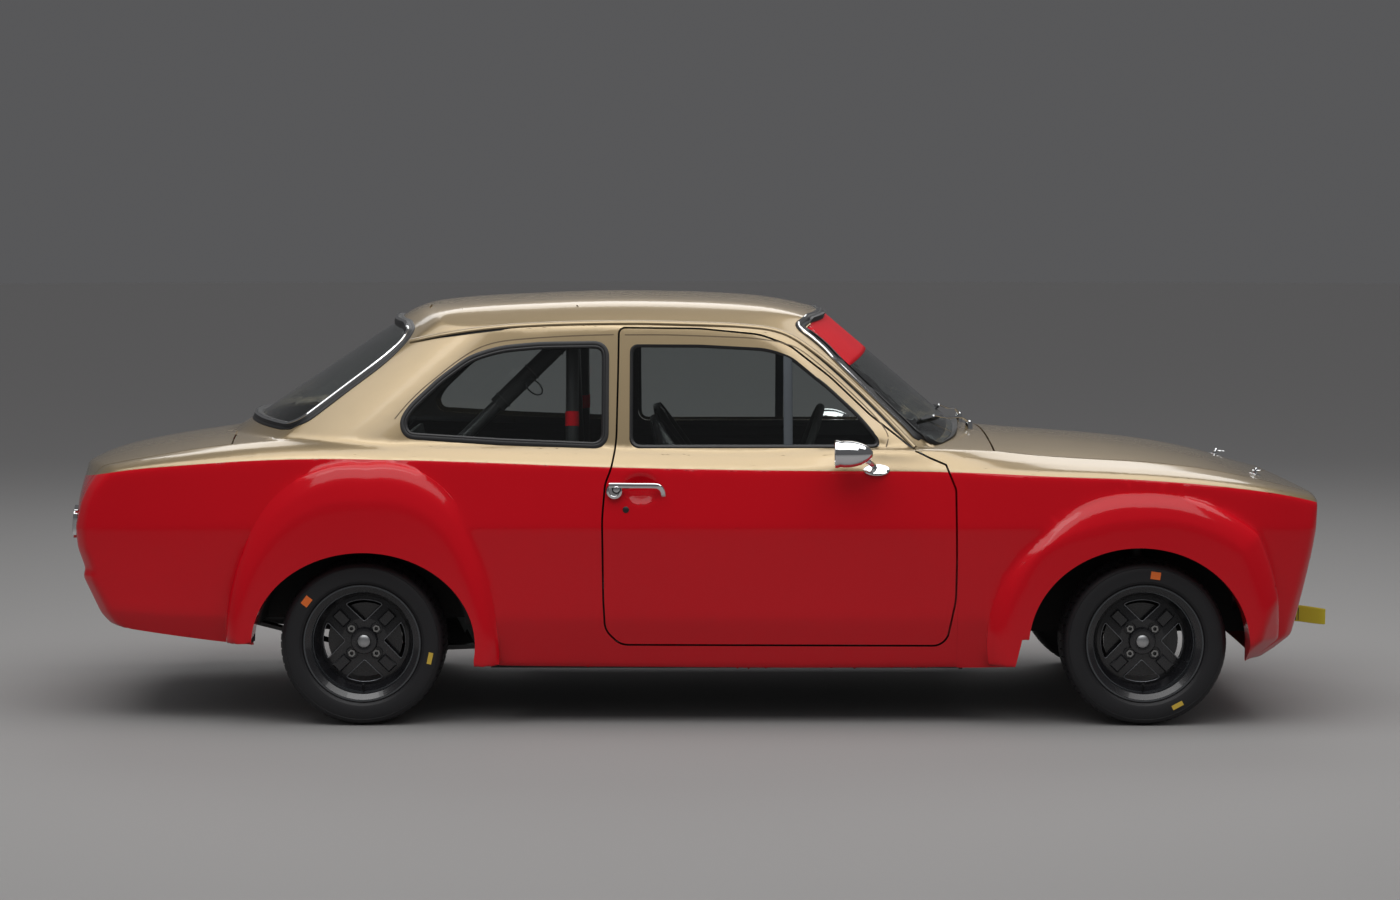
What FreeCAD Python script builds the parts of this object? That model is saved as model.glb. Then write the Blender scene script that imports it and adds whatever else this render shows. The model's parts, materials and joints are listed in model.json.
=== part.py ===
import FreeCAD
import Part
import math
import os

# Rally car: a two-door saloon, millimetres. +X forward, +Y to the car's left, +Z up.
# The origin is on the floor, at mid length and mid width.

V = FreeCAD.Vector

# ---- driving dimensions ----
WHEELBASE = 2403.0
FRONT_AXLE_X = 1370.5
REAR_AXLE_X = FRONT_AXLE_X - WHEELBASE
TYRE_R = 254.0
TYRE_INNER_Y = 549.0
TYRE_OUTER_Y = 761.0
RIM_INNER_Y = 560.0
RIM_OUTER_Y = 750.0
RIM_FLANGE_R = 181.0
HUB_FACE_Y = 670.0
AXLE_Z = TYRE_R
SHUT_GAP = 6.0            # between a moving panel and what is round it
SEAT = 0.3                # between a piece and what carries it
WALL_CABIN = 50.0         # doors, posts and sills
WALL_ENDS = 16.0          # wings, bonnet, boot and end panels
WALL_TOP = 30.0           # pillars and roof sides
HINGE_Y = 400.0           # bonnet and boot lid hinges
HINGE_ZS = (350.0, 680.0)  # a door's two hinge leaves
BONNET_REAR_X = 918.0
LID_FRONT_X = -1450.0
NOSE_JOIN_X = 794.0       # front wing to door post
TAIL_JOIN_X = -640.0      # thick cabin wall to thin rear quarter
LIP_Z = 668.0             # underside of the bonnet's front lip
LID_LIP_Z = 655.0         # underside of the boot lid's rear face
FRONT_PANEL_Y = 602.0
REAR_PANEL_Y = 596.0
COWL_Y = 612.0
SCREEN_FOOT_Y = 600.0
DOOR_POST_Y = 722.0
DECK_Y = 600.0
INTAKE_HALF_W = 290.0
HALF_LENGTH = 1992.0
LAMP_Y = 460.0            # tail lamps
LAMP_W = 200.0
LAMP_Z0 = 562.0
LAMP_Z1 = 646.0
LAMP_PROUD = 10.0
HEADLAMP_Y = 480.0
HEADLAMP_Z = 572.0
HEADLAMP_R = 80.0
SHEET = 12.0              # floor, bulkhead and inner wings
FLOOR_Z = 172.0
FLOOR_REAR_X = -640.0
BULKHEAD_X = 801.0
INNER_WING_Y = 385.0
TOWER_Z = 745.0
BOOT_Z = 310.0
TUB_Y = 528.0             # rear wheel tub: inner wall and radius
TUB_R = 324.0
SPRING_Y = 490.0
ARM_TOP = 196.0
AXLE_TUBE_R = 38.0
ENGINE_REAR_X = 975.0
HUB_BACK_Y = 618.0
RIM_SEAT_R = 166.0
SPOKE_W = 80.0
WINDOW_R = 128.0          # reach of the windows between the spokes
BRAKE_R = 115.0
BRAKE_Y = 634.0
HOOP_X = -395.0           # main hoop of the cage
SEAT_Y = 330.0
SEAT_W = 410.0
STEER_FOOT = (FRONT_AXLE_X, 600.0, 200.0)
STEER_HEAD = (FRONT_AXLE_X, 520.0, 740.0)
PIN_R = 11.0
DRIVER_Y = -SEAT_Y        # right-hand drive
WHEEL_R = 165.0           # steering wheel
GRIP_R = 13.0
COLUMN_R = 14.0
CAGE_R = 20.0
LENS_R = 220.0            # dome of a headlamp
GRILLE = (585.0, 490.0, 655.0, 40.0)     # half width, bottom, top, corner radius
INTAKE = (INTAKE_HALF_W, 330.0, 400.0, 14.0)
FLARE_Y = 806.0           # upright face of a wheel arch flare
FLARE_ROOT_Y = 768.0      # where its shoulder meets the body side
FLARE_DEEP = 68.0         # how far it reaches in behind the skin
HINGE_HALF_W = 12.0
FLOOR_TOP = FLOOR_Z + SHEET
TUB_TOP = AXLE_Z + TUB_R + SHEET
TUNNEL_STEP_X = 480.0     # gearbox tunnel ahead of it, shaft tunnel behind
GEARBOX_TUNNEL = (150.0, 420.0)          # half width, top
SHAFT_TUNNEL = (110.0, 350.0)
TOWER_HALF_L = 95.0
ENGINE = (505.0, 150.0, 225.0, 725.0)    # length, half width, bottom, top
SHAFT_Z = 256.0           # nose of the rear axle
GEARBOX_Z = 300.0
GEARBOX_R = 85.0
SHAFT_R = 34.0
DIFF_R = 112.0
PINION_L = 139.0
SPRING_HALF_W = 28.0
SPRING_FRONT_X = -658.0
SPRING_REAR_X = -1395.0
PIPE_R = 24.0
PIPE_Z = 136.0
HANGER_R = 6.0
HUB_R = 52.0
JACK_XS = (600.0, -450.0)  # lifting pads under the floor
JACK_Y = 600.0
PAD_DEEP = 8.0





# ---- helpers ----
def box(x0, x1, y0, y1, z0, z1):
    return Part.makeBox(x1 - x0, y1 - y0, z1 - z0, V(x0, y0, z0))


def outline(points, radii):
    # a closed wire, each corner rounded to its radius or to what its sides allow, and sharp at 0
    count = len(points)
    corners = []
    for k, p in enumerate(points):
        if not radii[k]:
            corners.append((p,))
            continue
        back, on = points[k - 1] - p, points[(k + 1) % count] - p
        half = back.getAngle(on) / 2
        reach = min(radii[k] / math.tan(half), 0.45 * back.Length, 0.45 * on.Length)
        a, b = p + back.normalize() * reach, p + on.normalize() * reach
        inward = (a + b) * 0.5 - p
        top = reach * (1 / math.cos(half) - math.tan(half))
        corners.append((a, p + inward.normalize() * top, b))
    edges = []
    for k, corner in enumerate(corners):
        if len(corner) == 3:
            edges.append(arc(*corner))
        edges.append(Part.makeLine(corner[-1], corners[(k + 1) % count][0]))
    return Part.Wire(edges)


def radii_of(points):
    # an outline's rows are two places and, where its corner is round, a radius
    return [p[2] if len(p) > 2 else 0.0 for p in points]
def closed_run(points, kinds):
    # a closed wire: "a" is an arc over the next two points, "l" a line to the next one
    edges, at, count = [], 0, len(points)
    for kind in kinds:
        if kind == "a":
            edges.append(arc(points[at], points[at + 1], points[(at + 2) % count]))
            at += 2
        else:
            edges.append(Part.makeLine(points[at], points[(at + 1) % count]))
            at += 1
    return Part.Wire(edges)


def prism_xz(points, y0, y1):
    wire = outline([V(p[0], y0, p[1]) for p in points], radii_of(points))
    return Part.Face(wire).extrude(V(0, y1 - y0, 0))


def prism_xy(points, z0, z1):
    wire = outline([V(p[0], p[1], z0) for p in points], radii_of(points))
    return Part.Face(wire).extrude(V(0, 0, z1 - z0))


def prism_yz(points, x0, x1):
    wire = outline([V(x0, p[0], p[1]) for p in points], radii_of(points))
    return Part.Face(wire).extrude(V(x1 - x0, 0, 0))


ROUND_JOIN = 0            # how an offset outline turns its corners
SHARP_JOIN = 2


def grown_xz(points, amount, y0, y1, join=SHARP_JOIN):
    # the same outline moved outward (or inward) by an amount
    wire = outline([V(p[0], y0, p[1]) for p in points], radii_of(points))
    return Part.Face(wire.makeOffset2D(amount, join)).extrude(V(0, y1 - y0, 0))
def cyl(x, y, z, r, length, axis):
    return Part.makeCylinder(r, length, V(x, y, z), V(*axis))


def rod(a, b, r):
    a, b = V(a), V(b)
    return Part.makeCylinder(r, (b - a).Length, a, b - a)


def tube_run(points, r):
    # a bent tube, its corners rounded
    pts = [V(*p) for p in points]
    edges, at = [], pts[0]
    for k in range(1, len(pts) - 1):
        back, on = (pts[k - 1] - pts[k]), (pts[k + 1] - pts[k])
        half = back.getAngle(on) / 2
        reach = min(2.0 * r, 0.4 * back.Length, 0.4 * on.Length)
        a, b = pts[k] + back.normalize() * reach, pts[k] + on.normalize() * reach
        inward = (a + b) * 0.5 - pts[k]
        top = reach * (1 / math.cos(half) - math.tan(half))
        edges.append(Part.makeLine(at, a))
        edges.append(arc(a, pts[k] + inward.normalize() * top, b))
        at = b
    edges.append(Part.makeLine(at, pts[-1]))
    ring = Part.Wire(Part.makeCircle(r, pts[0], pts[1] - pts[0]))
    return Part.Wire(edges).makePipeShell([ring], True, False)
def turned_y(profile, x, z):
    # profile rows: radius, y
    pts = [V(x, y, z + r) for r, y in profile]
    face = Part.Face(Part.makePolygon(pts + [pts[0]]))
    return face.revolve(V(x, 0, z), V(0, 1, 0), 360)


def mirrored(shape):
    return shape.mirror(V(0, 0, 0), V(0, 1, 0))


def side(shape, name):
    # shapes are drawn on the left, +Y
    return shape if name == "left" else mirrored(shape)


def arc(a, b, c):
    return Part.Arc(a, b, c).toShape()


def joined(shapes):
    return shapes[0].multiFuse(shapes[1:]).removeSplitter() if len(shapes) > 1 else shapes[0]


def cut(shape, tools):
    for t in tools:
        shape = shape.cut(t)
    return shape


def meet(shape, *tools):
    for t in tools:
        shape = shape.common(t)
    return shape


nodes = {}


def put(name, shape):
    solids = [s for s in shape.Solids if s.Volume > 200.0]
    nodes[name] = solids[0] if len(solids) == 1 else Part.makeCompound(solids)


# ---- body skin ----
# half sections along the car:
#   x, bottom(y z), tuck(y z), waist(y z), ridge(y z), shoulder(y z), belt(y z), edge(y z), crown z
SKIN = [
    (1990, (600, 180), (620, 330), (628, 600), (598, 652), (583, 662), (545, 670), (480, 676), 684),
    (1850, (655, 190), (672, 331), (685, 603), (674, 697), (657, 707), (620, 714), (560, 719), 726),
    (1640, (715, 200), (732, 331), (745, 610), (733, 732), (715, 746), (670, 757), (600, 768), 792),
    (1370, (735, 190), (752, 331), (768, 613), (752, 757), (735, 772), (688, 786), (610, 803), 838),
    (1100, (735, 180), (760, 331), (775, 613), (756, 768), (738, 784), (690, 800), (615, 819), 861),
    (925, (730, 178), (762, 331), (777, 613), (758, 774), (740, 790), (695, 814), (625, 836), 873),
    (756, (730, 177), (763, 331), (779, 613), (760, 782), (745, 802), (724, 828), (700, 846), 884),
    (300, (730, 175), (765, 331), (781, 613), (762, 786), (747, 806), (726, 832), (701, 849), 885),
    (-250, (730, 178), (765, 331), (781, 613), (760, 796), (746, 812), (726, 836), (702, 852), 885),
    (-900, (725, 195), (758, 331), (772, 613), (748, 818), (737, 830), (720, 845), (698, 862), 895),
    (-1250, (715, 230), (745, 331), (757, 613), (731, 819), (719, 835), (690, 854), (640, 872), 905),
    (-1550, (690, 262), (715, 335), (722, 608), (702, 801), (690, 814), (655, 832), (600, 843), 870),
    (-1840, (640, 300), (660, 350), (668, 600), (655, 768), (640, 778), (600, 788), (540, 795), 822),
    (-2020, (590, 330), (605, 380), (612, 600), (600, 712), (585, 718), (545, 724), (480, 728), 740),
]

# plan shape of both ends by height: z, tail x at centre, tail x at y 610, nose x at centre, nose x at y 640
ENDS = [
    (140, -1660, -1600, 1660, 1650),
    (228, -1800, -1750, 1795, 1785),
    (269, -1845, -1800, 1847, 1837),
    (332, -1900, -1858, 1864, 1854),
    (447, -1968, -1912, 1892, 1882),
    (470, -1958, -1904, 1897, 1887),
    (534, -1985, -1927, 1911, 1901),
    (600, -1991, -1933, 1922, 1912),
    (672, -1992, -1916, 1927, 1915),
    (720, -1984, -1895, 1927, 1915),
    (760, -1976, -1866, 1927, 1915),
    (800, -1976, -1820, 1927, 1915),
    (1000, -1976, -1820, 1927, 1915),
]


def skin_section(row, inset, drop, open_below, open_above):
    x = row[0]
    pts = []
    for k, (y, z) in enumerate(row[1:8]):
        if k == 0 and open_below:
            z = z - 120.0
        if k >= 4:
            z = z - drop * (0.4 + 0.2 * (k - 4))
        if open_above and k == 6:
            z = 1000.0
            y = y + 12.0
        pts.append(V(x, y - inset, z))
    far = [V(x, -p.y, p.z) for p in pts]
    crown = V(x, 0, 1010.0 if open_above else row[8] - drop)
    return closed_run([far[0]] + pts + [crown] + far[:0:-1], "lllllll" + "a" + "llllll")


def skin_loft(inset, drop, open_below, open_above, rows=SKIN):
    return Part.makeLoft([skin_section(r, inset, drop, open_below, open_above) for r in rows], True, False)


def cabin_room(inset):
    # the room between the cabin walls
    return skin_loft(inset, 0, True, True, SKIN[4:12])
def ends_volume(inset):
    wires = []
    for z, tail_c, tail_k, nose_c, nose_k in ENDS:
        t0, t1, n0, n1 = tail_c + inset, tail_k + inset, nose_c - inset, nose_k - inset
        run = [(n1, 640), (n0, 0), (n1, -640), (n1 - 260, -1000), (t1 + 300, -1000),
               (t1, -610), (t0, 0), (t1, 610), (t1 + 300, 1000), (n1 - 260, 1000)]
        wires.append(closed_run([V(x, y, z) for x, y in run], "alllalll"))
    return Part.makeLoft(wires, True, True)


skin_outer = meet(skin_loft(0, 0, False, False), ends_volume(0))
skin_inner_ends = meet(skin_loft(WALL_ENDS, WALL_ENDS, True, False), ends_volume(WALL_ENDS))
skin_inner_cabin = cabin_room(WALL_CABIN)
nose_shell = meet(skin_outer, box(600, 2100, -900, 900, 100, 1200)).cut(skin_inner_ends)
cabin_shell = meet(skin_outer, box(TAIL_JOIN_X, NOSE_JOIN_X, -900, 900, 100, 1200)).cut(skin_inner_cabin)
tail_shell = meet(skin_outer, box(-2100, TAIL_JOIN_X, -900, 900, 100, 1200)).cut(skin_inner_ends)

# ---- cabin top ----
# plan sections: z, front centre x, glass edge (x y), rail (x y), side middle y,
#                rear side (x y), rear glass edge (x y), rear centre x
TOP_PLAN = [
    (800, 942.5, (774, 663), (723, 715), 721, (-1005, 712), (-1393, 628), -1621),
    (1345, 298, (216, 492), (75, 554), 560, (-520, 551), (-668, 488), -803),
]
# roof line along the car: x, crown z, shoulder z (y 470), rail z (y 590)
ROOF = [
    (-1500, 1225, 1160, 1050),
    (-1000, 1262, 1225, 1140),
    (-886, 1282, 1250, 1180),
    (-755, 1298, 1270, 1207),
    (-430, 1315, 1290, 1226),
    (-245, 1319, 1294, 1230),
    (4, 1314, 1290, 1227),
    (190, 1303, 1277, 1208),
    (283, 1289, 1262, 1180),
    (380, 1266, 1235, 1130),
    (560, 1200, 1160, 1040),
    (900, 1050, 1000, 900),
]


def top_section(row, inset):
    z, fc, (gx, gy), (rx, ry), my, (sx, sy), (bx, by), bc = row
    i = inset
    p = {"fc": V(fc - i, 0, z), "g": V(gx - i, gy - i, z), "r": V(rx - i, ry - i, z),
         "m": V((rx + sx) / 2, my - i, z), "s": V(sx + i, sy - i, z), "b": V(bx + i, by - i, z),
         "bc": V(bc + i, 0, z)}
    mid = V((sx + bx) / 2 + i - 6, (sy + by) / 2 + 14 - i, z)
    f = {k: V(q.x, -q.y, q.z) for k, q in p.items()}
    run = [f["g"], p["fc"], p["g"], p["r"], p["m"], p["s"], mid, p["b"],
           p["bc"], f["b"], V(mid.x, -mid.y, z), f["s"], f["m"], f["r"]]
    return closed_run(run, "alaaaaal")
def roof_section(row, drop):
    x, crown, shoulder, rail = row
    crown, shoulder, rail = crown - drop, shoulder - drop, rail - drop
    run = [(-470, shoulder), (0, crown), (470, shoulder), (590, rail), (760, rail - 260),
           (900, 700), (-900, 700), (-760, rail - 260), (-590, rail)]
    return closed_run([V(x, y, z) for y, z in run], "alllllll")
def top_volume(inset, drop):
    plan = Part.makeLoft([top_section(r, inset) for r in TOP_PLAN], True, True)
    return meet(plan, Part.makeLoft([roof_section(r, drop) for r in ROOF], True, False))


top_outer = top_volume(0, 0)
top_shell = top_outer.cut(top_volume(WALL_TOP, 25))
glass_shell = top_volume(6, 6).cut(top_volume(11, 11))

# ---- outlines seen from the side: x, z and the radius of a round corner ----
DOOR_LINE = [(-246, 1219, 20), (-248, 1070), (-252, 868, 400), (-266, 795, 200), (-285, 747, 100),
             (-294, 640, 400), (-291, 391, 300), (-286, 297, 60), (-240, 250, 60), (760, 247, 50),
             (789, 391, 150), (791, 514), (788, 729), (758, 804), (710, 824), (666, 846),
             (530, 951, 300), (407, 1067, 400), (283, 1163, 120), (190, 1198, 200), (4, 1216, 400)]
DOOR_WINDOW = [(-212, 852, 30), (-212, 1168, 24), (4, 1167, 400), (215, 1156, 300), (288, 1130, 120),
               (390, 1047, 400), (496, 950, 400), (556, 880, 60), (556, 853, 20)]
QUARTER_WINDOW = [(-902, 884, 45), (-610, 866, 400), (-305, 854, 30), (-282, 877, 30), (-282, 1150, 30),
                  (-304, 1170, 30), (-490, 1167, 400), (-614, 1156, 400), (-706, 1127, 200),
                  (-798, 1060, 300), (-888, 976, 300), (-917, 930, 70)]
ROOF_LINE = [(-1100, 1150), (-886, 1176), (-755, 1204), (-430, 1221), (-244, 1226), (4, 1223), (190, 1204),
             (283, 1169), (380, 1086), (520, 1120), (520, 1400), (-1100, 1400)]
# outlines seen along the car: y, z and radius, left half
WINDSCREEN_HALF = [(0, 894), (200, 889, 400), (450, 864, 300), (600, 852, 60), (640, 874, 40),
                   (605, 988, 400), (560, 1132, 400), (520, 1212, 60), (470, 1238, 80), (0, 1257)]
REAR_FOOT = [(0, 925), (300, 918), (560, 908, 30)]
REAR_WINDOW_HALF = REAR_FOOT + [(584, 925, 40), (556, 1030, 400), (536, 1112, 300), (508, 1163, 90),
                                (450, 1197, 120), (350, 1217, 300), (0, 1230)]
def whole(half):
    return half + [(-p[0],) + p[1:] for p in reversed(half) if p[0] > 0]


def glass_pane(half, x0, x1):
    rows = whole(half)
    wire = outline([V(x0, p[0], p[1]) for p in rows], radii_of(rows))
    return Part.Face(wire.makeOffset2D(-SEAT, ROUND_JOIN)).extrude(V(x1 - x0, 0, 0))
door_hole = grown_xz(DOOR_LINE, SHUT_GAP / 2, -950, 950)
door_tool = grown_xz(DOOR_LINE, -SHUT_GAP / 2, 400, 950)
door_window = prism_xz(DOOR_WINDOW, -950, 950)
quarter_window = prism_xz(QUARTER_WINDOW, -950, 950)
screen_hole = prism_yz(whole(WINDSCREEN_HALF), 150, 1000)
rear_hole = prism_yz(whole(REAR_WINDOW_HALF), -1700, -700)
roof_zone = prism_xz(ROOF_LINE, -900, 900)


# ---- wheel arches ----
# name: centre x, half width, height above the axle
ARCHES = {
    "front": (1347.0, 337.0, 300.0),
    "rear": (REAR_AXLE_X + 8.5, 342.0, 285.0),
}
# lines of a flare seen from the side, each a run of four arcs (x z): the foot of its shoulder, then its crest
FLARES = {
    "front": (
        [(900, 150), (911, 400), (1030, 562), (1172, 682), (1348, 718),
         (1560, 684), (1716, 592), (1770, 430), (1778, 150)],
        [(948, 150), (962, 390), (1048, 548), (1190, 610), (1345, 636),
         (1520, 618), (1662, 548), (1712, 400), (1722, 150)],
    ),
    "rear": (
        [(-1440, 150), (-1424, 460), (-1340, 650), (-1200, 775), (-1017, 806),
         (-850, 782), (-738, 684), (-650, 470), (-610, 150)],
        [(-1396, 150), (-1380, 440), (-1292, 588), (-1170, 670), (-1020, 692),
         (-872, 674), (-768, 592), (-692, 430), (-660, 150)],
    ),
}


def stretched(shape, x, factor):
    m = FreeCAD.Matrix()
    m.A11 = factor
    m.A14 = x * (1 - factor)
    return shape.transformGeometry(m)


def arcs_xz(points, y):
    return closed_run([V(x, y, z) for x, z in points], "a" * (len(points) // 2) + "l")
def between(a, b, share):
    return [(p[0] + (q[0] - p[0]) * share, p[1] + (q[1] - p[1]) * share) for p, q in zip(a, b)]


def flare(name):
    root, crest = FLARES[name]
    rise = FLARE_Y - FLARE_ROOT_Y
    wires = [arcs_xz(root, FLARE_ROOT_Y - FLARE_DEEP), arcs_xz(root, FLARE_ROOT_Y),
             arcs_xz(between(root, crest, 0.45), FLARE_ROOT_Y + 0.62 * rise), arcs_xz(crest, FLARE_Y)]
    return Part.makeLoft(wires, True, True)


def arch_hole(name):
    x, half, high = ARCHES[name]
    c = Part.makeCylinder(high, 500, V(x, 500, AXLE_Z), V(0, 1, 0))
    return stretched(c, x, half / high)


front_arch = arch_hole("front")
rear_arch = arch_hole("rear")
flare_room = meet(box(-1500, 2000, 600, 900, 188, 830), ends_volume(0))
front_flare = meet(flare("front"), flare_room).cut(skin_inner_ends)
rear_flare = meet(flare("rear"), flare_room).cut(skin_inner_ends)
rear_flare = rear_flare.cut(box(-1500, REAR_AXLE_X, 600, 900, 100, 258))

# ---- fixed and moving panels ----
def skin_volume(wall, seat):
    # the room inside the walls, less a seating gap
    inset = wall + seat
    return meet(skin_loft(inset, inset, True, False), ends_volume(inset))
def bonnet_prism(grow):
    g = grow
    half = [(BONNET_REAR_X - g, 612 + g), (1110, 606 + g), (1640, 592 + g), (1850, 556 + g), (2050, 500 + g)]
    return prism_xy([(x, -y) for x, y in half] + [(x, y) for x, y in reversed(half)], LIP_Z - g, 1200)


def lid_prism(grow):
    g = grow
    half = [(LID_FRONT_X - 50 + g, 0), (LID_FRONT_X + g, 590 + g), (-1700, 590 + g), (-1900, 560 + g),
            (-2100, 545 + g)]
    return prism_xy(half + [(x, -y) for x, y in reversed(half) if y > 0], LID_LIP_Z - g, 1200)
bonnet_hole = bonnet_prism(SHUT_GAP)
lid_hole = lid_prism(SHUT_GAP)
put("bonnet", meet(nose_shell, bonnet_prism(0)))
put("boot_lid", cut(meet(tail_shell, lid_prism(0)), [top_outer]))


def front_zone(g):
    half = FRONT_PANEL_Y + g
    return box(1700 - g, 2100, -half, half, 100, LIP_Z - SHUT_GAP)
def rear_zone(g):
    return box(-2100, -1780 + g, -REAR_PANEL_Y - g, REAR_PANEL_Y + g, 100, LID_LIP_Z - SHUT_GAP)


def rounded_yz(half_y, z0, z1, r, grow, x0, x1):
    h, a, b = half_y + grow, z0 - grow, z1 + grow
    k = r * (1 - math.sqrt(0.5))
    run = [(r - h, a), (h - r, a), (h - k, a + k), (h, a + r), (h, b - r), (h - k, b - k),
           (h - r, b), (r - h, b), (k - h, b - k), (-h, b - r), (-h, a + r), (k - h, a + k)]
    return Part.Face(closed_run([V(x0, y, z) for y, z in run], "lalalala")).extrude(V(x1 - x0, 0, 0))
grille_hole = rounded_yz(*GRILLE, 0, 1800, 2000)
intake_hole = rounded_yz(*INTAKE, 0, 1800, 2000)
put("front_panel", cut(meet(nose_shell, front_zone(0)), [grille_hole, intake_hole]))

# the wing runs back over the door's front corner to the pillar
wing_tail = prism_xz([(NOSE_JOIN_X + 10, 500), (780, 500), (780, 729), (740, 780), (640, 820),
                      (640, 1000), (NOSE_JOIN_X + 10, 1000)], -900, 900)
wing_room = box(NOSE_JOIN_X + SEAT, 2100, 300, 900, 100, 1000).fuse(wing_tail)
wing = meet(cut(nose_shell, [bonnet_hole, front_zone(SEAT), door_hole, top_volume(-SEAT, -SEAT)]), wing_room)
wing = cut(wing, [box(600, BONNET_REAR_X - SHUT_GAP, -900, COWL_Y + SEAT, 100, 1000)])
wing = meet(wing, box(600, 2100, 300, 900, 100, 1000))
wing = wing.fuse(front_flare).cut(front_arch)
arch_x, arch_half = ARCHES["front"][:2]
arch_foot = arch_x - arch_half
wing = wing.cut(prism_xz([(arch_foot - 55, 100), (arch_foot - 42, 186), (arch_foot - 21, 272),
                          (arch_x + arch_half, 272), (arch_x + arch_half, 100)], 500, 900))
for s in ("left", "right"):
    put("wing_" + s, side(wing, s))

cowl = meet(nose_shell, box(640, BONNET_REAR_X - SHUT_GAP, -COWL_Y, COWL_Y, 700, 1000)).cut(top_outer)
screen_foot = meet(top_shell, box(640, 1000, -SCREEN_FOOT_Y, SCREEN_FOOT_Y, 830, 900)).cut(screen_hole)
hinge_room = skin_volume(WALL_ENDS, SEAT)
hinge_root = skin_volume(WALL_ENDS - 4, 0)


def hinge_arm(x0, x1, x2, z):
    # fixed to the sheet from x0 to x1, then on under the moving panel to x2
    y0, y1 = HINGE_Y - HINGE_HALF_W, HINGE_Y + HINGE_HALF_W
    root = meet(box(min(x0, x1), max(x0, x1), y0, y1, z, 1000), hinge_root)
    tongue = meet(box(min(x0, x2), max(x0, x2), y0, y1, z, 1000), hinge_room)
    arm = joined([root, tongue])
    return [arm, mirrored(arm)]
put("cowl", joined([cowl, screen_foot] + hinge_arm(850, BONNET_REAR_X - SHUT_GAP - 1, 965, 828)))

def lamp_box(s, x0, x1, shrink):
    y = s * LAMP_Y
    half = LAMP_W / 2 - shrink
    return box(x0, x1, y - half, y + half, LAMP_Z0 + shrink, LAMP_Z1 - shrink)


lamp_hole = joined([lamp_box(s, -2100, -1890, 0) for s in (-1, 1)])
put("rear_panel", cut(meet(tail_shell, rear_zone(0)), [lamp_hole]))

FOOT_Y = DECK_Y - 14      # end of the panel strip under the rear window
deck = cut(meet(tail_shell, box(-1560, -1100, -DECK_Y, DECK_Y, 700, 1100)), [lid_hole, top_outer])
foot_half = REAR_FOOT + [(FOOT_Y - SEAT, 900), (FOOT_Y - SEAT, 866), (0, 866)]
deck_top = meet(top_shell, prism_yz(whole(foot_half), -1700, -1100)).cut(rear_hole)
put("rear_deck", joined([deck, deck_top] + hinge_arm(LID_FRONT_X + 25, LID_FRONT_X, LID_FRONT_X - 80, 826)))

deck_room = box(-1560, TAIL_JOIN_X, -DECK_Y - SEAT, DECK_Y + SEAT, 640, 960)
frame_low = cut(cabin_shell.fuse(tail_shell), [lid_hole, door_hole, rear_zone(SEAT), wing_tail, deck_room])
frame_low = meet(frame_low, box(-2100, NOSE_JOIN_X, 200, 900, 100, 1200))
pillar_room = box(-1700, 640, 200, 900, 846, 1400).fuse(box(640, 900, SCREEN_FOOT_Y + SEAT, 900, 801, 1400))
frame_top = cut(meet(top_shell, pillar_room), [roof_zone, screen_hole, rear_hole, door_hole, quarter_window,
                                               box(-1700, -1100, 0, FOOT_Y, 700, 950)])
post_z = FLOOR_TOP + SEAT
door_post = prism_xz([(752, post_z), (BULKHEAD_X, post_z), (BULKHEAD_X, 822), (768, 822), (778, 770),
                      (752, 730)], 640, DOOR_POST_Y)
door_post = meet(door_post, skin_volume(WALL_ENDS, SEAT), cabin_room(WALL_CABIN + SHUT_GAP))
post_foot = meet(box(752, BULKHEAD_X, 640, 700, post_z, 240), skin_volume(WALL_ENDS, SEAT))
inside_door = cabin_room(WALL_CABIN + SEAT)
hinge_leaves = [meet(box(758, 782, DOOR_POST_Y - 40, 760, z - 22, z + 22), inside_door) for z in HINGE_ZS]
side_frame = joined([frame_low, frame_top, door_post, post_foot] + hinge_leaves)
side_frame = side_frame.fuse(rear_flare).cut(rear_arch)
arch_x, arch_half = ARCHES["rear"][:2]
side_frame = side_frame.cut(box(arch_x - arch_half - 5, arch_x + arch_half - 4, 500, 900, 100, 262))
for s in ("left", "right"):
    put("side_frame_" + s, side(side_frame, s))
put("roof", cut(meet(top_shell, roof_zone), [screen_hole, rear_hole, door_hole]))

door = meet(cabin_shell, door_tool).fuse(meet(top_shell, door_tool)).cut(door_window)
door_pane = meet(glass_shell, grown_xz(DOOR_WINDOW, -SEAT, 400, 950, ROUND_JOIN))
quarter_pane = meet(glass_shell, grown_xz(QUARTER_WINDOW, -SEAT, 400, 950, ROUND_JOIN))
put("windscreen", meet(glass_shell, glass_pane(WINDSCREEN_HALF, 150, 1000)))
put("rear_window", meet(glass_shell, glass_pane(REAR_WINDOW_HALF, -1700, -700)))
put("quarter_windows", Part.makeCompound([quarter_pane, mirrored(quarter_pane)]))
for s in ("left", "right"):
    put("door_" + s, side(door, s))
    put("door_window_" + s, side(door_pane, s))

# ---- small outside pieces ----
outside = skin_loft(-SEAT, -SEAT, False, False)
room_ends = skin_volume(WALL_ENDS, SEAT)
def headlamp(s):
    # a slice of a sphere in a round rim
    drum = cyl(1820, s * HEADLAMP_Y, HEADLAMP_Z, HEADLAMP_R, 84, (1, 0, 0))
    return drum.common(Part.makeSphere(LENS_R, V(1904 - LENS_R, s * HEADLAMP_Y, HEADLAMP_Z)))


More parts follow.
